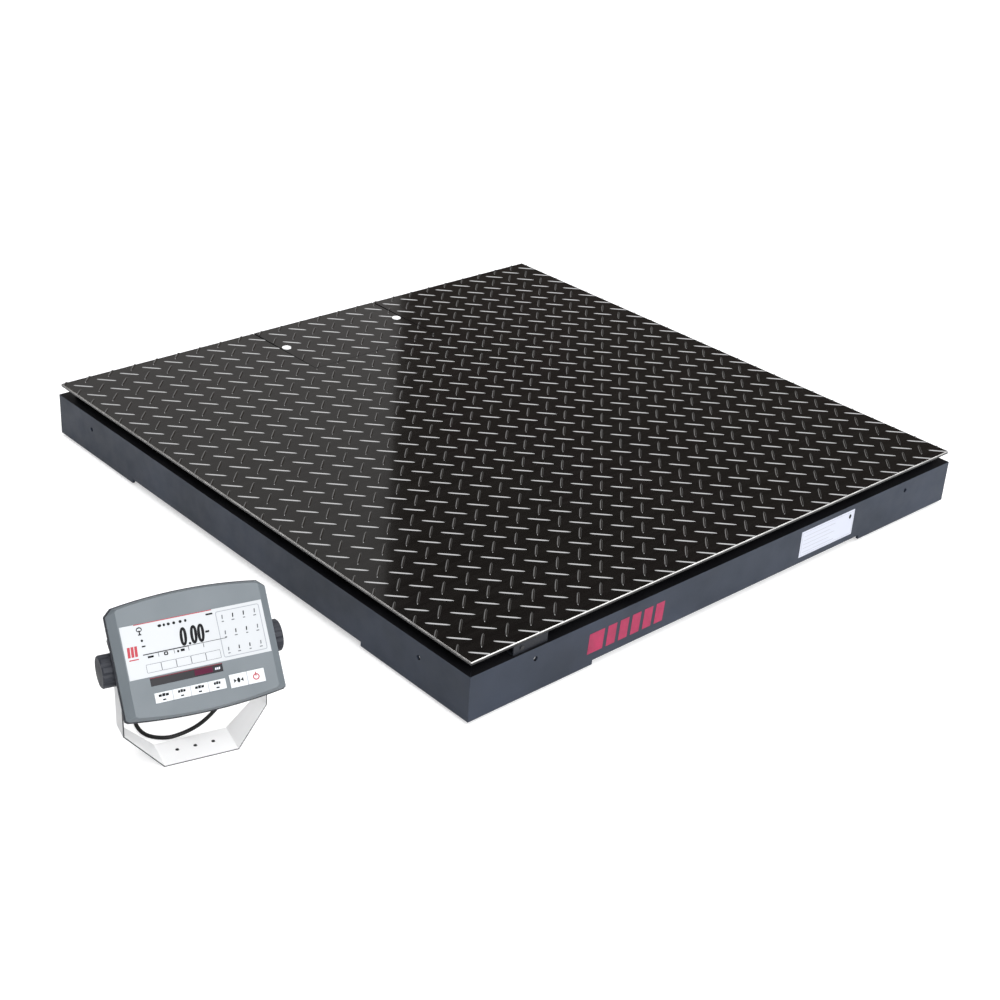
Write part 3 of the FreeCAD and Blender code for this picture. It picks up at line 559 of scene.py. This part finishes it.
def make_ties():
    """Two hook-and-loop straps round the coil."""
    pieces = []
    inner, outer = strap_loop(0.0), strap_loop(STRAP_THICK)
    for number, degrees in enumerate((35, 215), 1):
        angle = math.radians(degrees)
        out = Vector((math.cos(angle), math.sin(angle), 0))
        along = Vector((-out.y, out.x, 0)) * STRAP_HALF_WIDTH
        middle = Vector((COIL_X, COIL_Y, 0)) + out * STRAP_MIDDLE
        bm = bmesh.new()
        rows = []
        for flat, edge in ((inner, -along), (outer, -along), (outer, along), (inner, along)):
            rows.append([bm.verts.new(on_stand(middle + out * a + edge + UP * b)) for a, b in flat])
        for a, b in zip(rows, rows[1:] + rows[:1]):
            for i in range(len(a)):
                n = (i + 1) % len(a)
                bm.faces.new((a[i], a[n], b[n], b[i]))
        made = from_bmesh("strap", bm)
        pieces.append(shown(f"coil_strap_{number}", made, STRAP, "platform"))
    return pieces


def strap_material():
    """Napped black webbing."""
    made = Finish("strap_webbing", 0.9, Sheen_Weight=0.3)
    weave = made.noise(900, 3, made.stretched((1, 1, 0.4)))
    made.colour(made.ramp(weave, ((0.35, (0.008, 0.008, 0.009)), (0.7, (0.035, 0.035, 0.037)))))
    return made.bump(weave, 0.6, 0.0004).material


STRAP = strap_material()


def make_cord():
    """The cable: from the gland down behind the stand, then its coil and its tail to the plug."""
    route = list(GLAND_TIP) + list(CORD_ROUTE) + coil_points() + list(TAIL_ROUTE)
    line = nurbs_line("cable_line", [on_stand(p) for p in route], 6)
    cord = shown("indicator_cable", tube("indicator_cable", line, CORD_R * MM), RUBBER_AND_HOLE_SHADE)
    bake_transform(cord)
    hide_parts("indicator_cord", "indicator_cord_coil")
    plug = make_connector()
    [plug] + make_ties()


make_cord()


# ---- the platform: millimetres from its centre -------------------------------------------------
SIDE_HALF = 610.0
LUG_PITCH = 50.8
LUG_LONG, LUG_WIDE, LUG_HIGH = 41.0, 5.4, 1.3
LUG_SUNK = 0.3                           # the lug's foot below the plate's surface
LUG_START = (32.5, 15.0)                 # the first lug from the platform's front left corner
COVER_HALF, COVER_FRONT = 157.0, 389.0
SEAM_CLEAR = 2.0                         # lugs stop this far from the seam's middle
SCREW_X, SCREW_Y, SCREW_CLEAR = 145.0, 506.0, 19.0
SCREW_PROUD = 1.3


def lug_shape():
    """Vertices and faces of one closed lug along x, its foot just under the plate's surface."""
    along, across = 12, 6
    rows = []
    verts = [(-LUG_LONG / 2, 0, -LUG_SUNK)]
    for i in range(1, along):
        u = -math.cos(math.pi * i / along)
        half = LUG_WIDE / 2 * (1 - u ** 4) ** 0.6
        top = LUG_HIGH * (1 - u ** 6) ** 0.8
        row = []
        for j in range(across + 1):
            v = -1 + 2 * j / across
            row.append(len(verts))
            rise = (top + LUG_SUNK) * (1 - abs(v) ** 1.7)
            verts.append((u * LUG_LONG / 2, v * half, rise - LUG_SUNK))
        rows.append(row)
    last = len(verts)
    verts.append((LUG_LONG / 2, 0, -LUG_SUNK))
    faces = []
    for a, b in zip(rows, rows[1:]):
        faces += [(a[j], b[j], b[j + 1], a[j + 1]) for j in range(across)]
    faces += [(0, rows[0][j], rows[0][j + 1]) for j in range(across)]
    faces += [(rows[-1][j], last, rows[-1][j + 1]) for j in range(across)]
    rim = [0] + [row[0] for row in rows] + [last] + [row[-1] for row in reversed(rows)]
    faces.append(tuple(reversed(rim)))
    return verts, faces


def placed_lug(shape, x, y, lean):
    """The lug's vertices, turned by lean and moved to x, y."""
    c, s = math.cos(lean), math.sin(lean)
    return [(x + c * a - s * b, y + s * a + c * b, d) for a, b, d in shape]


def cut_lug(verts, faces, cuts):
    """The lug cut by vertical planes; each is a point on the plane and its outward direction."""
    bm = bmesh.new()
    made = [bm.verts.new(v) for v in verts]
    for face in faces:
        bm.faces.new([made[i] for i in face])
    for place, out in cuts:
        geom = bm.verts[:] + bm.edges[:] + bm.faces[:]
        cut = bmesh.ops.bisect_plane(bm, geom=geom, plane_co=place, plane_no=out, clear_outer=True)
        edges = [e for e in cut["geom_cut"] if isinstance(e, bmesh.types.BMEdge)]
        if edges:
            bmesh.ops.holes_fill(bm, edges=edges, sides=0)
    bm.verts.index_update()
    result = [tuple(v.co) for v in bm.verts], [tuple(v.index for v in f.verts) for f in bm.faces]
    bm.free()
    return result


def lug_places():
    """Each lug's centre and lean: two square grids at right angles, half a pitch apart."""
    half_pitch = LUG_PITCH / 2
    count = int(2 * SIDE_HALF / LUG_PITCH) + 2
    for shift, lean in ((0.0, -math.pi / 4), (half_pitch, math.pi / 4)):
        for i in range(-1, count):
            for j in range(-1, count):
                x = LUG_START[0] - shift + i * LUG_PITCH - SIDE_HALF
                y = LUG_START[1] + shift + j * LUG_PITCH - SIDE_HALF
                if all(math.hypot(x - side * SCREW_X, y - SCREW_Y) >= SCREW_CLEAR for side in (-1, 1)):
                    yield x, y, lean


def edge_cuts(x, y, edge, reach):
    """The planes of the deck's edges that a lug at x, y crosses."""
    cuts = []
    for axis, value in ((0, x), (1, y)):
        for sign in (-1, 1):
            if sign * value > edge - reach:
                normal = tuple(sign if k == axis else 0 for k in range(3))
                cuts.append((tuple(c * edge for c in normal), normal))
    return cuts


def seam_parts(x, y, reach):
    """The plates that a lug at x, y lies on, each with the planes of the seam that cut it there."""
    seam_x, seam_y = COVER_HALF + 1, COVER_FRONT - 1
    side = math.copysign(1, x)
    near_side = abs(abs(x) - seam_x) < reach and y > seam_y - reach
    near_front = abs(y - seam_y) < reach and abs(x) < seam_x + reach
    deck_side = ((side * (seam_x + SEAM_CLEAR), 0, 0), (-side, 0, 0))
    deck_front = ((0, seam_y - SEAM_CLEAR, 0), (0, 1, 0))
    cover_side = ((side * (seam_x - SEAM_CLEAR), 0, 0), (side, 0, 0))
    cover_front = ((0, seam_y + SEAM_CLEAR, 0), (0, -1, 0))
    if abs(x) > seam_x + reach or y < seam_y - reach:
        return [("deck", [])]
    if near_side and near_front:
        return [("deck", [deck_front]), ("cover", [cover_front, cover_side])]
    if near_side:
        return [("deck", [deck_side]), ("cover", [cover_side])]
    if near_front:
        return [("deck", [deck_front]), ("cover", [cover_front])]
    return [("cover", [])]


def make_lugs():
    """The raised pattern, cut off at the plates' edges, one mesh for each plate."""
    shape, faces = lug_shape()
    reach = LUG_LONG / 2 + 1
    edge = DECK_HALF / MM - 1.0
    sets = {"deck": ([], []), "cover": ([], [])}
    for x, y, lean in lug_places():
        if max(abs(x), abs(y)) > edge + reach * 0.6:
            continue
        verts = placed_lug(shape, x, y, lean)
        cuts = edge_cuts(x, y, edge, reach)
        for target, more in seam_parts(x, y, reach):
            made = cut_lug(verts, faces, cuts + more) if cuts or more else (verts, faces)
            base = len(sets[target][0])
            sets[target][0].extend(made[0])
            sets[target][1].extend(tuple(i + base for i in f) for f in made[1])
    place = PLATFORM @ Matrix.Translation((0, 0, DECK_TOP)) @ Matrix.Scale(MM, 4)
    for target, body in (("deck", "platform"), ("cover", "cover")):
        mesh = bpy.data.meshes.new(f"{target}_lugs")
        mesh.from_pydata(sets[target][0], [], sets[target][1])
        smooth_faces(mesh, 60)
        shown(f"{target}_lugs", mesh, LUG, body, place)


def make_plate(name, outline, node, ease):
    """A flat plate between the node's lowest and highest points, its edges rounded over."""
    low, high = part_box(node)
    bm = bmesh.new()
    flat_box(bm, outline, low.z, high.z)
    bmesh.ops.bevel(bm, geom=bm.edges[:], offset=ease, segments=3, profile=0.5, affect="EDGES",
                    clamp_overlap=True)
    piece = shown(name, from_bmesh(name, bm), DECK, frame["nodes"][node]["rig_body"], replaces=(node,))
    return even_shading(piece)


def make_plates():
    """The deck with its notch at the rear and the cover that fills it: worn outside, black at the seam."""
    low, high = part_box("deck_plate")
    cover_low, cover_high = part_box("access_cover")
    gap, rim = 2 * MM, 2 * MM
    notch_left, notch_right, notch_front = cover_low.x - gap, cover_high.x + gap, cover_low.y - gap
    deck = make_plate("tread_deck", [
        (low.x, low.y), (high.x, low.y), (high.x, high.y), (notch_right, high.y), (notch_right, notch_front),
        (notch_left, notch_front), (notch_left, high.y), (low.x, high.y),
    ], "deck_plate", 1.6 * MM)
    cover = make_plate("tread_cover", [
        (cover_low.x, cover_low.y), (cover_high.x, cover_low.y), (cover_high.x, cover_high.y),
        (cover_low.x, cover_high.y),
    ], "access_cover", 0.8 * MM)
    for plate in (deck, cover):
        plate.data.materials.append(WORN_EDGE)
        plate.data.materials.append(FRAME_BLACK_AND_LEDGE_SHADE)
        for face in plate.data.polygons:
            spot = face.center
            inside = min(spot.x - low.x, high.x - spot.x, spot.y - low.y, high.y - spot.y)
            if face.normal.z < 0.98 and inside > rim:
                face.material_index = 2
            elif 0.1 < face.normal.z < 0.98:
                face.material_index = 1


make_lugs()
make_plates()
# The channels' upward faces take the black as painted shade: the ledge under the deck's overhang is coloured
# dark as if in shadow.
for side in ("front", "left", "rear", "right"):
    repaint(eased(f"side_channel_{side}", 1.4 * MM, SLATE, 3), FRAME_BLACK_AND_LEDGE_SHADE, UP, 0.9)


PRINT_THICK = 0.12
LABEL_PITCH = 8.0


def make_label():
    """The data label with plain rules in place of its print."""
    low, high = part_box("nameplate")
    x0, x1 = (low.x - CENTRE.x) / MM, (high.x - CENTRE.x) / MM
    z0, z1 = low.z / MM, high.z / MM
    face = low.y / MM
    eased("nameplate", 0.2 * MM, LABEL, 1)
    bm = bmesh.new()
    for k in range(5):
        z = z0 + LABEL_PITCH * (k + 1)
        slab(bm, x0 + LABEL_PITCH, x0 + 96 - 14 * (k % 2), z, z + 1.0, face, PRINT_THICK)
    frame_lines(bm, x0 + 3, x1 - 3, z0 + 3, z1 - 3, face, PRINT_THICK, 0.7, 2.0)
    shown("label_rules", from_bmesh("label_rules", bm), LABEL_RULE, "platform", PLATFORM)
    bm = bmesh.new()
    outline_plate(bm, oval(x1 - 12, z1 - 12, 3.4, 4.4, 20), face, PRINT_THICK)
    shown("label_dot", from_bmesh("label_dot", bm), INK, "platform", PLATFORM)


STRIPES = (34, 20, 20, 20, 20, 20)       # widths, left to right
STRIPE_LEFT, STRIPE_LOW, STRIPE_HIGH, STRIPE_GAP = -360.0, 29.5, 66.5, 8.0
VINYL_THICK = 0.25


def make_mark():
    """A plain red stripe motif on the front skirt."""
    bm = bmesh.new()
    x = STRIPE_LEFT
    for width in STRIPES:
        slab(bm, x, x + width, STRIPE_LOW, STRIPE_HIGH, -SIDE_HALF, VINYL_THICK, 0.08)
        x += width + STRIPE_GAP
    shown("skirt_stripes", from_bmesh("skirt_stripes", bm), RED_VINYL, "platform", PLATFORM)


def make_cover_screws():
    """The cover's two screws, their heads a little proud of the plate."""
    screws = eased("cover_screws", 1.0 * MM, WHITE_SHEET, 3)
    for vertex in screws.data.vertices:
        if vertex.co.z > DECK_TOP - 1.2 * MM:
            vertex.co.z += SCREW_PROUD * MM


make_label()
make_mark()
make_cover_screws()
eased("seal_plate", 0.5 * MM, SEAL_DARK, 2)


# ---- the indicator: print, in millimetres from the pivot, on the head's face --------------------
FACE_Y = -46.0
KEY_Y = FACE_Y - 0.5                     # the keys' faces
WINDOW_Y = FACE_Y + 0.4                  # the light window's face
DIGITS_X, DIGITS_Z, DIGIT_LEAN = (-17.0, -1.9, 8.4), 23.6, 0.07
DIGIT_OUTER, DIGIT_INNER = (5.1, 13.0), (0.95, 8.6)       # half sizes
ICONS_Z = 45.0
ICONS = ((-46.9, 2.8), (-40.5, 1.8), (-34.2, 2.3), (-26.3, 2.2), (-17.1, 2.3), (-9.7, 1.8))
BLACK_BARS = (                           # left, right, bottom, top and slant
    (14.6, 20.4, 22.4, 25.2, 0.2),       # after the reading
    (20.2, 30.2, 46.0, 48.4, 0.0),       # beside the icons
    (-77.5, -12.0, 8.8, 10.2, 0.0),      # rule under the reading
    (-12.0, 43.4, 9.3, 10.0, 0.0),       # its thinner end
    (-71.5, -63.2, 3.8, 6.6, 0.0),       # captions under the rule
    (-24.5, -18.8, 3.8, 7.2, 0.0),
    (-77.0, -75.4, 38.6, 44.0, 0.0),     # the pan sign's stem and foot
    (-78.6, -74.0, 37.2, 38.8, 0.0),
    (-76.8, -71.6, 20.2, 22.2, 0.0),     # left of the reading
)
BLACK_DOTS = (                           # middle, half width, half height and corners
    (-9.6, 12.4, 1.8, 1.8, 12),          # decimal point
    (-28.3, 5.0, 1.6, 1.8, 10),
    (-75.0, 29.4, 1.7, 1.8, 10),
)
BLACK_RINGS = (                          # what oval() takes, for the outer and the inner edge
    ((-45.5, 5.6, 3.0, 2.6, 16, 4), (-45.5, 5.6, 1.4, 1.1, 16, 4)),
    ((-76.1, 45.2, 4.2, 3.4, 20), (-76.1, 45.0, 3.0, 2.0, 20)),
)
TICKS_X = (-56.5, -34.2, -13.4, 8.1)
SOFT_KEYS = (-76.5, -16.6, 106.8, 12.0)  # left, bottom, width and height of the row of soft keys
KEYPAD = (34.0, 98.5, -17.6, 48.4)
KEYPAD_X, KEYPAD_Z = (42.4, 58.0, 73.8, 90.2), (38.0, 15.8, -7.4)
RED_BARS = (
    (-82.5, 29.5, 51.9, 52.95, 0.0),     # along the overlay's top
    (-98.6, -94.7, 9.0, 23.6, 0.08),     # the mark's three bars and its underline
    (-93.5, -89.6, 9.0, 23.6, 0.08),
    (-88.4, -84.5, 9.0, 23.6, 0.08),
    (-97.6, -84.0, 4.4, 6.0, 0.0),
)


def bars(bm, rows, y=FACE_Y, thick=PRINT_THICK):
    for x0, x1, z0, z1, slant in rows:
        slab(bm, x0, x1, z0, z1, y, thick, slant)


def black_print(bm):
    """The reading, the icons over it and the signs round it."""
    for x in DIGITS_X:
        outer, inner = (oval(x, DIGITS_Z, *half, power=2.3, lean=DIGIT_LEAN)
                        for half in (DIGIT_OUTER, DIGIT_INNER))
        ring_plate(bm, outer, inner, FACE_Y, PRINT_THICK)
    for x, half in ICONS:
        outline_plate(bm, oval(x, ICONS_Z, half, 2.1, 10), FACE_Y, PRINT_THICK)
    for x, z, rx, rz, count in BLACK_DOTS:
        outline_plate(bm, oval(x, z, rx, rz, count), FACE_Y, PRINT_THICK)
    for outer, inner in BLACK_RINGS:
        ring_plate(bm, oval(*outer), oval(*inner), FACE_Y, PRINT_THICK)
    bars(bm, BLACK_BARS)


def grey_print(bm):
    """The ticks under the rule and the row of soft keys."""
    bars(bm, [(x, x + 0.9, 3.0, 8.8, 0.0) for x in TICKS_X])
    left, bottom, width, height = SOFT_KEYS
    for k in range(5):
        x = left + k * width / 5
        frame_lines(bm, x, x + width / 5, bottom, bottom + height, FACE_Y, PRINT_THICK, 0.55)


def keypad_print(black, grey):
    """Twelve plain numeral-like strokes, each over a small bar."""
    for row, z in enumerate(KEYPAD_Z):
        for column, x in enumerate(KEYPAD_X):
            ink = grey if column in (0, 3) else black
            bars(ink, [(x - 0.7, x + 0.9, z - 1.4, z + 4.4 - row * 0.4, 0.12)])
            bars(grey, [(x - 1.4 - column % 2, x + 1.8, z - 5.6, z - 4.2, 0.0)])


def decals():
    """The overlay's print, as very thin plates on its face."""
    layers = {"black": bmesh.new(), "grey": bmesh.new(), "pale": bmesh.new(), "red": bmesh.new()}
    black_print(layers["black"])
    grey_print(layers["grey"])
    keypad_print(layers["black"], layers["grey"])
    frame_lines(layers["pale"], *KEYPAD, FACE_Y, PRINT_THICK, 1.0, 3.0)
    bars(layers["red"], RED_BARS)
    for key, ink in (("black", INK), ("grey", GREY_INK), ("pale", PALE_INK), ("red", RED_INK)):
        shown(f"overlay_{key}_print", from_bmesh("print", layers[key]), ink, "head", HEAD)


CAPTION_REACH = (7.2, 5.4, 6.4, 4.8)     # half widths of the four captions
KEY_PRINT_THICK = 0.1


def caption(bm, x, z, reach):
    """Three strokes over a short bar, in place of a key's words."""
    for k in range(3):
        left = x - reach + k * reach * 0.7
        slab(bm, left, left + reach * 0.6, z + 0.9, z + 4.4 + 0.7 * (k % 2), KEY_Y, KEY_PRINT_THICK, 0.1)
    slab(bm, x - 2.2, x + 2.4, z - 4.6, z - 2.6, KEY_Y, KEY_PRINT_THICK)


def zero_sign(bm, x, z):
    """An oval between two arrowheads."""
    outline_plate(bm, oval(x, z, 2.3, 3.6, 16), KEY_Y, KEY_PRINT_THICK)
    for s in (-1, 1):
        arrow = [(x + s * 7.0, z + 2.9), (x + s * 2.8, z), (x + s * 7.0, z - 2.9)]
        outline_plate(bm, arrow[::s], KEY_Y, KEY_PRINT_THICK)


def power_sign(bm, x, z):
    """A ring with a stroke through its top."""
    ring_plate(bm, oval(x, z - 0.6, 4.9, 4.6, 24), oval(x, z - 0.6, 3.3, 3.0, 24), KEY_Y, KEY_PRINT_THICK)
    slab(bm, x - 0.8, x + 0.8, z + 0.5, z + 6.2, KEY_Y, KEY_PRINT_THICK)


def key_print():
    """A generic symbol on each key, riding with it."""
    for number in range(1, 7):
        points = [HEAD.inverted() @ v.co for v in frame["nodes"][f"key_{number}"].data.vertices]
        x = (min(p.x for p in points) + max(p.x for p in points)) / 2 / MM
        z = (min(p.z for p in points) + max(p.z for p in points)) / 2 / MM
        bm = bmesh.new()
        if number <= 4:
            caption(bm, x, z, CAPTION_REACH[number - 1])
        elif number == 5:
            zero_sign(bm, x, z)
        else:
            power_sign(bm, x, z)
        ink = RED_INK if number == 6 else INK
        shown(f"key_{number}_print", from_bmesh("key_print", bm), ink, f"key_{number}", HEAD)


def light_print():
    """The light window's red edge, its tinted stretch and a pale mark."""
    for name, ink, rows in (
        ("light_red_edge", DARK_RED_INK, [(-75.0, 29.0, -24.9, -23.8, 0.0)]),
        ("light_red_part", RED_WINDOW, [(-11.8, 14.4, -33.6, -26.0, 0.0)]),
        ("light_white_mark", LABEL, [(x, x + 2.0, -31.6, -28.4, 0.15) for x in (17.6, 20.2, 22.8)]),
    ):
        bm = bmesh.new()
        bars(bm, rows, WINDOW_Y, 0.15)
        shown(name, from_bmesh(name, bm), ink, "head", HEAD)


def make_hole_shade_sheet():
    """A thin black sheet under the stand's foot: painted shade, seen dark through its three holes."""
    left, front, rear_edge = -52 * MM, 4 * MM, 52 * MM
    bm = bmesh.new()
    corners = [(left, front), (-left, front), (-left, rear_edge), (left, rear_edge)]
    flat_box(bm, corners, ON_FLOOR * MM, 0.5 * MM)
    shown("stand_hole_shade", from_bmesh("stand_hole_shade", bm), RUBBER_AND_HOLE_SHADE, "platform", STAND)


decals()
key_print()
light_print()
eased("front_bezel", 0.9 * MM, BEZEL, 3, 14)
eased("rear_housing", 1.6 * MM, HOUSING, 3, 20)
eased("display_overlay", 0.15 * MM, FILM, 1)
eased("light_window", 0.2 * MM, DARK_WINDOW, 1)
for number in range(1, 7):
    eased(f"key_{number}", 0.25 * MM, KEY_FILM, 2)
for side in ("left", "right"):
    eased(f"knob_{side}", 0.7 * MM, HOUSING, 2)
# The bracket's front-facing cut edges in dark grey: a painted shade line along the white sheet's edge.
repaint(eased("stand_bracket", 0.4 * MM, WHITE_SHEET, 2), SHEET_EDGE_SHADE, -level, 0.6)
make_hole_shade_sheet()
eased("cord_gland", 0.5 * MM, BLACK_PLASTIC, 2)

# ---- carried-over nodes ------------------------------------------------------------------------
CARRIED = {
    FRAME_BLACK_AND_LEDGE_SHADE: ["riser_bars", "deck_beams", "centre_beam", "corner_blocks", "cover_ledge", "junction_tray"],
    ZINC: ["cell_bolts", "lock_nuts", "housing_screws"] + [f"foot_stem_{k}" for k in range(1, 5)],
    STEEL: ["output_socket"] + [f"load_cell_{k}" for k in range(1, 5)],
    CAST: [f"foot_pad_{k}" for k in range(1, 5)],
    BOX_GREY: ["junction_box", "junction_lid"],
    BOARD: ["junction_board", "main_board", "power_board"],
    BLACK_PLASTIC: ["cable_glands", "housing_gasket", "pivot_washers", "seal_screw"],
    RUBBER_AND_HOLE_SHADE: ["inner_cables"],
    FILM: ["lcd_module"],
}
for material, names in CARRIED.items():
    for name in names:
        slots = frame["nodes"][name].data.materials
        slots.clear()
        slots.append(material)


# ---- floor and light ---------------------------------------------------------------------------
FLOOR_HALF = 14.0
FLOOR_LIFT = 0.5                         # so the floor is seen as plain white


def make_floor():
    """A plain white floor."""
    bm = bmesh.new()
    bmesh.ops.create_grid(bm, x_segments=1, y_segments=1, size=FLOOR_HALF)
    mesh = bpy.data.meshes.new("floor")
    bm.to_mesh(mesh)
    bm.free()
    floor = bpy.data.objects.new("floor", mesh)
    scene.collection.objects.link(floor)
    made = Finish("floor_white", 0.7, Specular_IOR_Level=0.1, Emission_Color=(1, 1, 1, 1))
    made.colour(made.ramp(made.noise(1.5), ((0.3, (0.61, 0.61, 0.61)), (0.7, (0.63, 0.63, 0.63)))))
    lift = made.add("ShaderNodeMath", operation="MULTIPLY")
    made.link(made.add("ShaderNodeLightPath").outputs["Is Camera Ray"], lift.inputs[0])
    lift.inputs[1].default_value = FLOOR_LIFT
    made.link(lift.outputs["Value"], made.shader.inputs["Emission Strength"])
    mesh.materials.append(made.material)


BEHIND = (                               # the world beyond the object, by the height looked at
    (0.0, (0.25, 0.25, 0.26)), (0.16, (0.20, 0.20, 0.20)), (0.27, (0.10, 0.085, 0.075)),
    (0.64, (0.05, 0.042, 0.038)), (0.82, (0.7, 0.7, 0.72)), (1.0, (0.8, 0.8, 0.82)),
)
IN_FRONT = (1.0, 1.025, 1.07, 1)         # the world before it
FRONT_WAY, FRONT_FROM, FRONT_FULL = (-0.10, -0.995, 0.0), 0.12, 0.5
BACKDROP = (1.2, 1.2, 1.2, 1)            # the world as seen behind the floor
WORLD_STRENGTH = 0.9


def make_world():
    """A studio that is bright in front and overhead and dark behind, with a white backdrop."""
    world = bpy.data.worlds.new("studio")
    scene.world = world
    world.use_nodes = True
    nodes, link = world.node_tree.nodes, world.node_tree.links.new

    def mixed(factor, first, second):
        mix = nodes.new("ShaderNodeMix")
        mix.data_type = "RGBA"
        link(factor, mix.inputs[0])
        link(first, mix.inputs[6])
        mix.inputs[7].default_value = second
        return mix.outputs[2]

    way = nodes.new("ShaderNodeTexCoord").outputs["Generated"]
    split = nodes.new("ShaderNodeSeparateXYZ")
    link(way, split.inputs["Vector"])
    ramp = nodes.new("ShaderNodeValToRGB")
    link(split.outputs["Z"], ramp.inputs["Fac"])
    stops = ramp.color_ramp.elements
    for stop, (height, colour) in zip(stops, (BEHIND[0], BEHIND[-1])):
        stop.position, stop.color = height, (*colour, 1)
    for height, colour in BEHIND[1:-1]:
        stops.new(height).color = (*colour, 1)
    facing = nodes.new("ShaderNodeVectorMath")
    facing.operation = "DOT_PRODUCT"
    facing.inputs[1].default_value = FRONT_WAY
    link(way, facing.inputs[0])
    near = nodes.new("ShaderNodeMapRange")
    near.inputs["From Min"].default_value, near.inputs["From Max"].default_value = FRONT_FROM, FRONT_FULL
    link(facing.outputs["Value"], near.inputs["Value"])
    around = mixed(near.outputs["Result"], ramp.outputs["Color"], IN_FRONT)
    seen = nodes.new("ShaderNodeLightPath").outputs["Is Camera Ray"]
    background = nodes["Background"]
    link(mixed(seen, around, BACKDROP), background.inputs["Color"])
    background.inputs["Strength"].default_value = WORLD_STRENGTH


SUNS = (                                 # name, direction towards it, strength and width in degrees
    ("key", (0.62, -0.50, 0.68), 0.5, 30),
    ("top", (0.12, 0.125, 0.985), 0.12, 25),
    ("sky", (0.0, -0.2, 1.0), 2.1, 90),
    ("front", (-0.25, -0.90, 0.42), 1.3, 40),
    ("rim", (0.314, 0.92, 0.235), 0.03, 20),
)
PANEL_SIZE, PANEL_POWER = (6.0, 3.0), 16.0
PANEL_EDGE = Vector((1.081, 1.362, 1.526)), Vector((2.789, 3.388, 1.526))    # its edge over the deck
PANEL_ALONG, PANEL_OUT = 2.0, 1.5        # its middle from that edge's near end
FILL_SIZE, FILL_POWER = (0.19, 0.08), 0.06
FILL_AT = (0, 26, 97)                    # over the stand's foot, under the head


def lamp(name, kind, strength):
    data = bpy.data.lights.new(name, kind)
    data.energy = strength
    made = bpy.data.objects.new(name, data)
    scene.collection.objects.link(made)
    return made


def area_lamp(name, size, strength, matrix):
    """A rectangular panel that shines along its own -z."""
    made = lamp(name, "AREA", strength)
    made.data.shape = "RECTANGLE"
    made.data.size, made.data.size_y = size
    made.matrix_world = matrix


def make_lights():
    """Wide suns, a level panel overhead that the deck mirrors, and a small fill under the head."""
    make_world()
    for name, way, strength, spread in SUNS:
        sun = lamp(name, "SUN", strength)
        sun.data.angle = math.radians(spread)
        sun.rotation_mode = "QUATERNION"
        sun.rotation_quaternion = Vector(way).to_track_quat("Z", "Y")
    near, far = PANEL_EDGE
    along = (far - near).normalized()
    out = UP.cross(along)
    middle = near + along * PANEL_ALONG + out * PANEL_OUT
    area_lamp("panel", PANEL_SIZE, PANEL_POWER, axes(middle, along, out, UP))
    area_lamp("fill", FILL_SIZE, FILL_POWER, axes(on_stand(FILL_AT), right, level, UP))


make_floor()
make_lights()
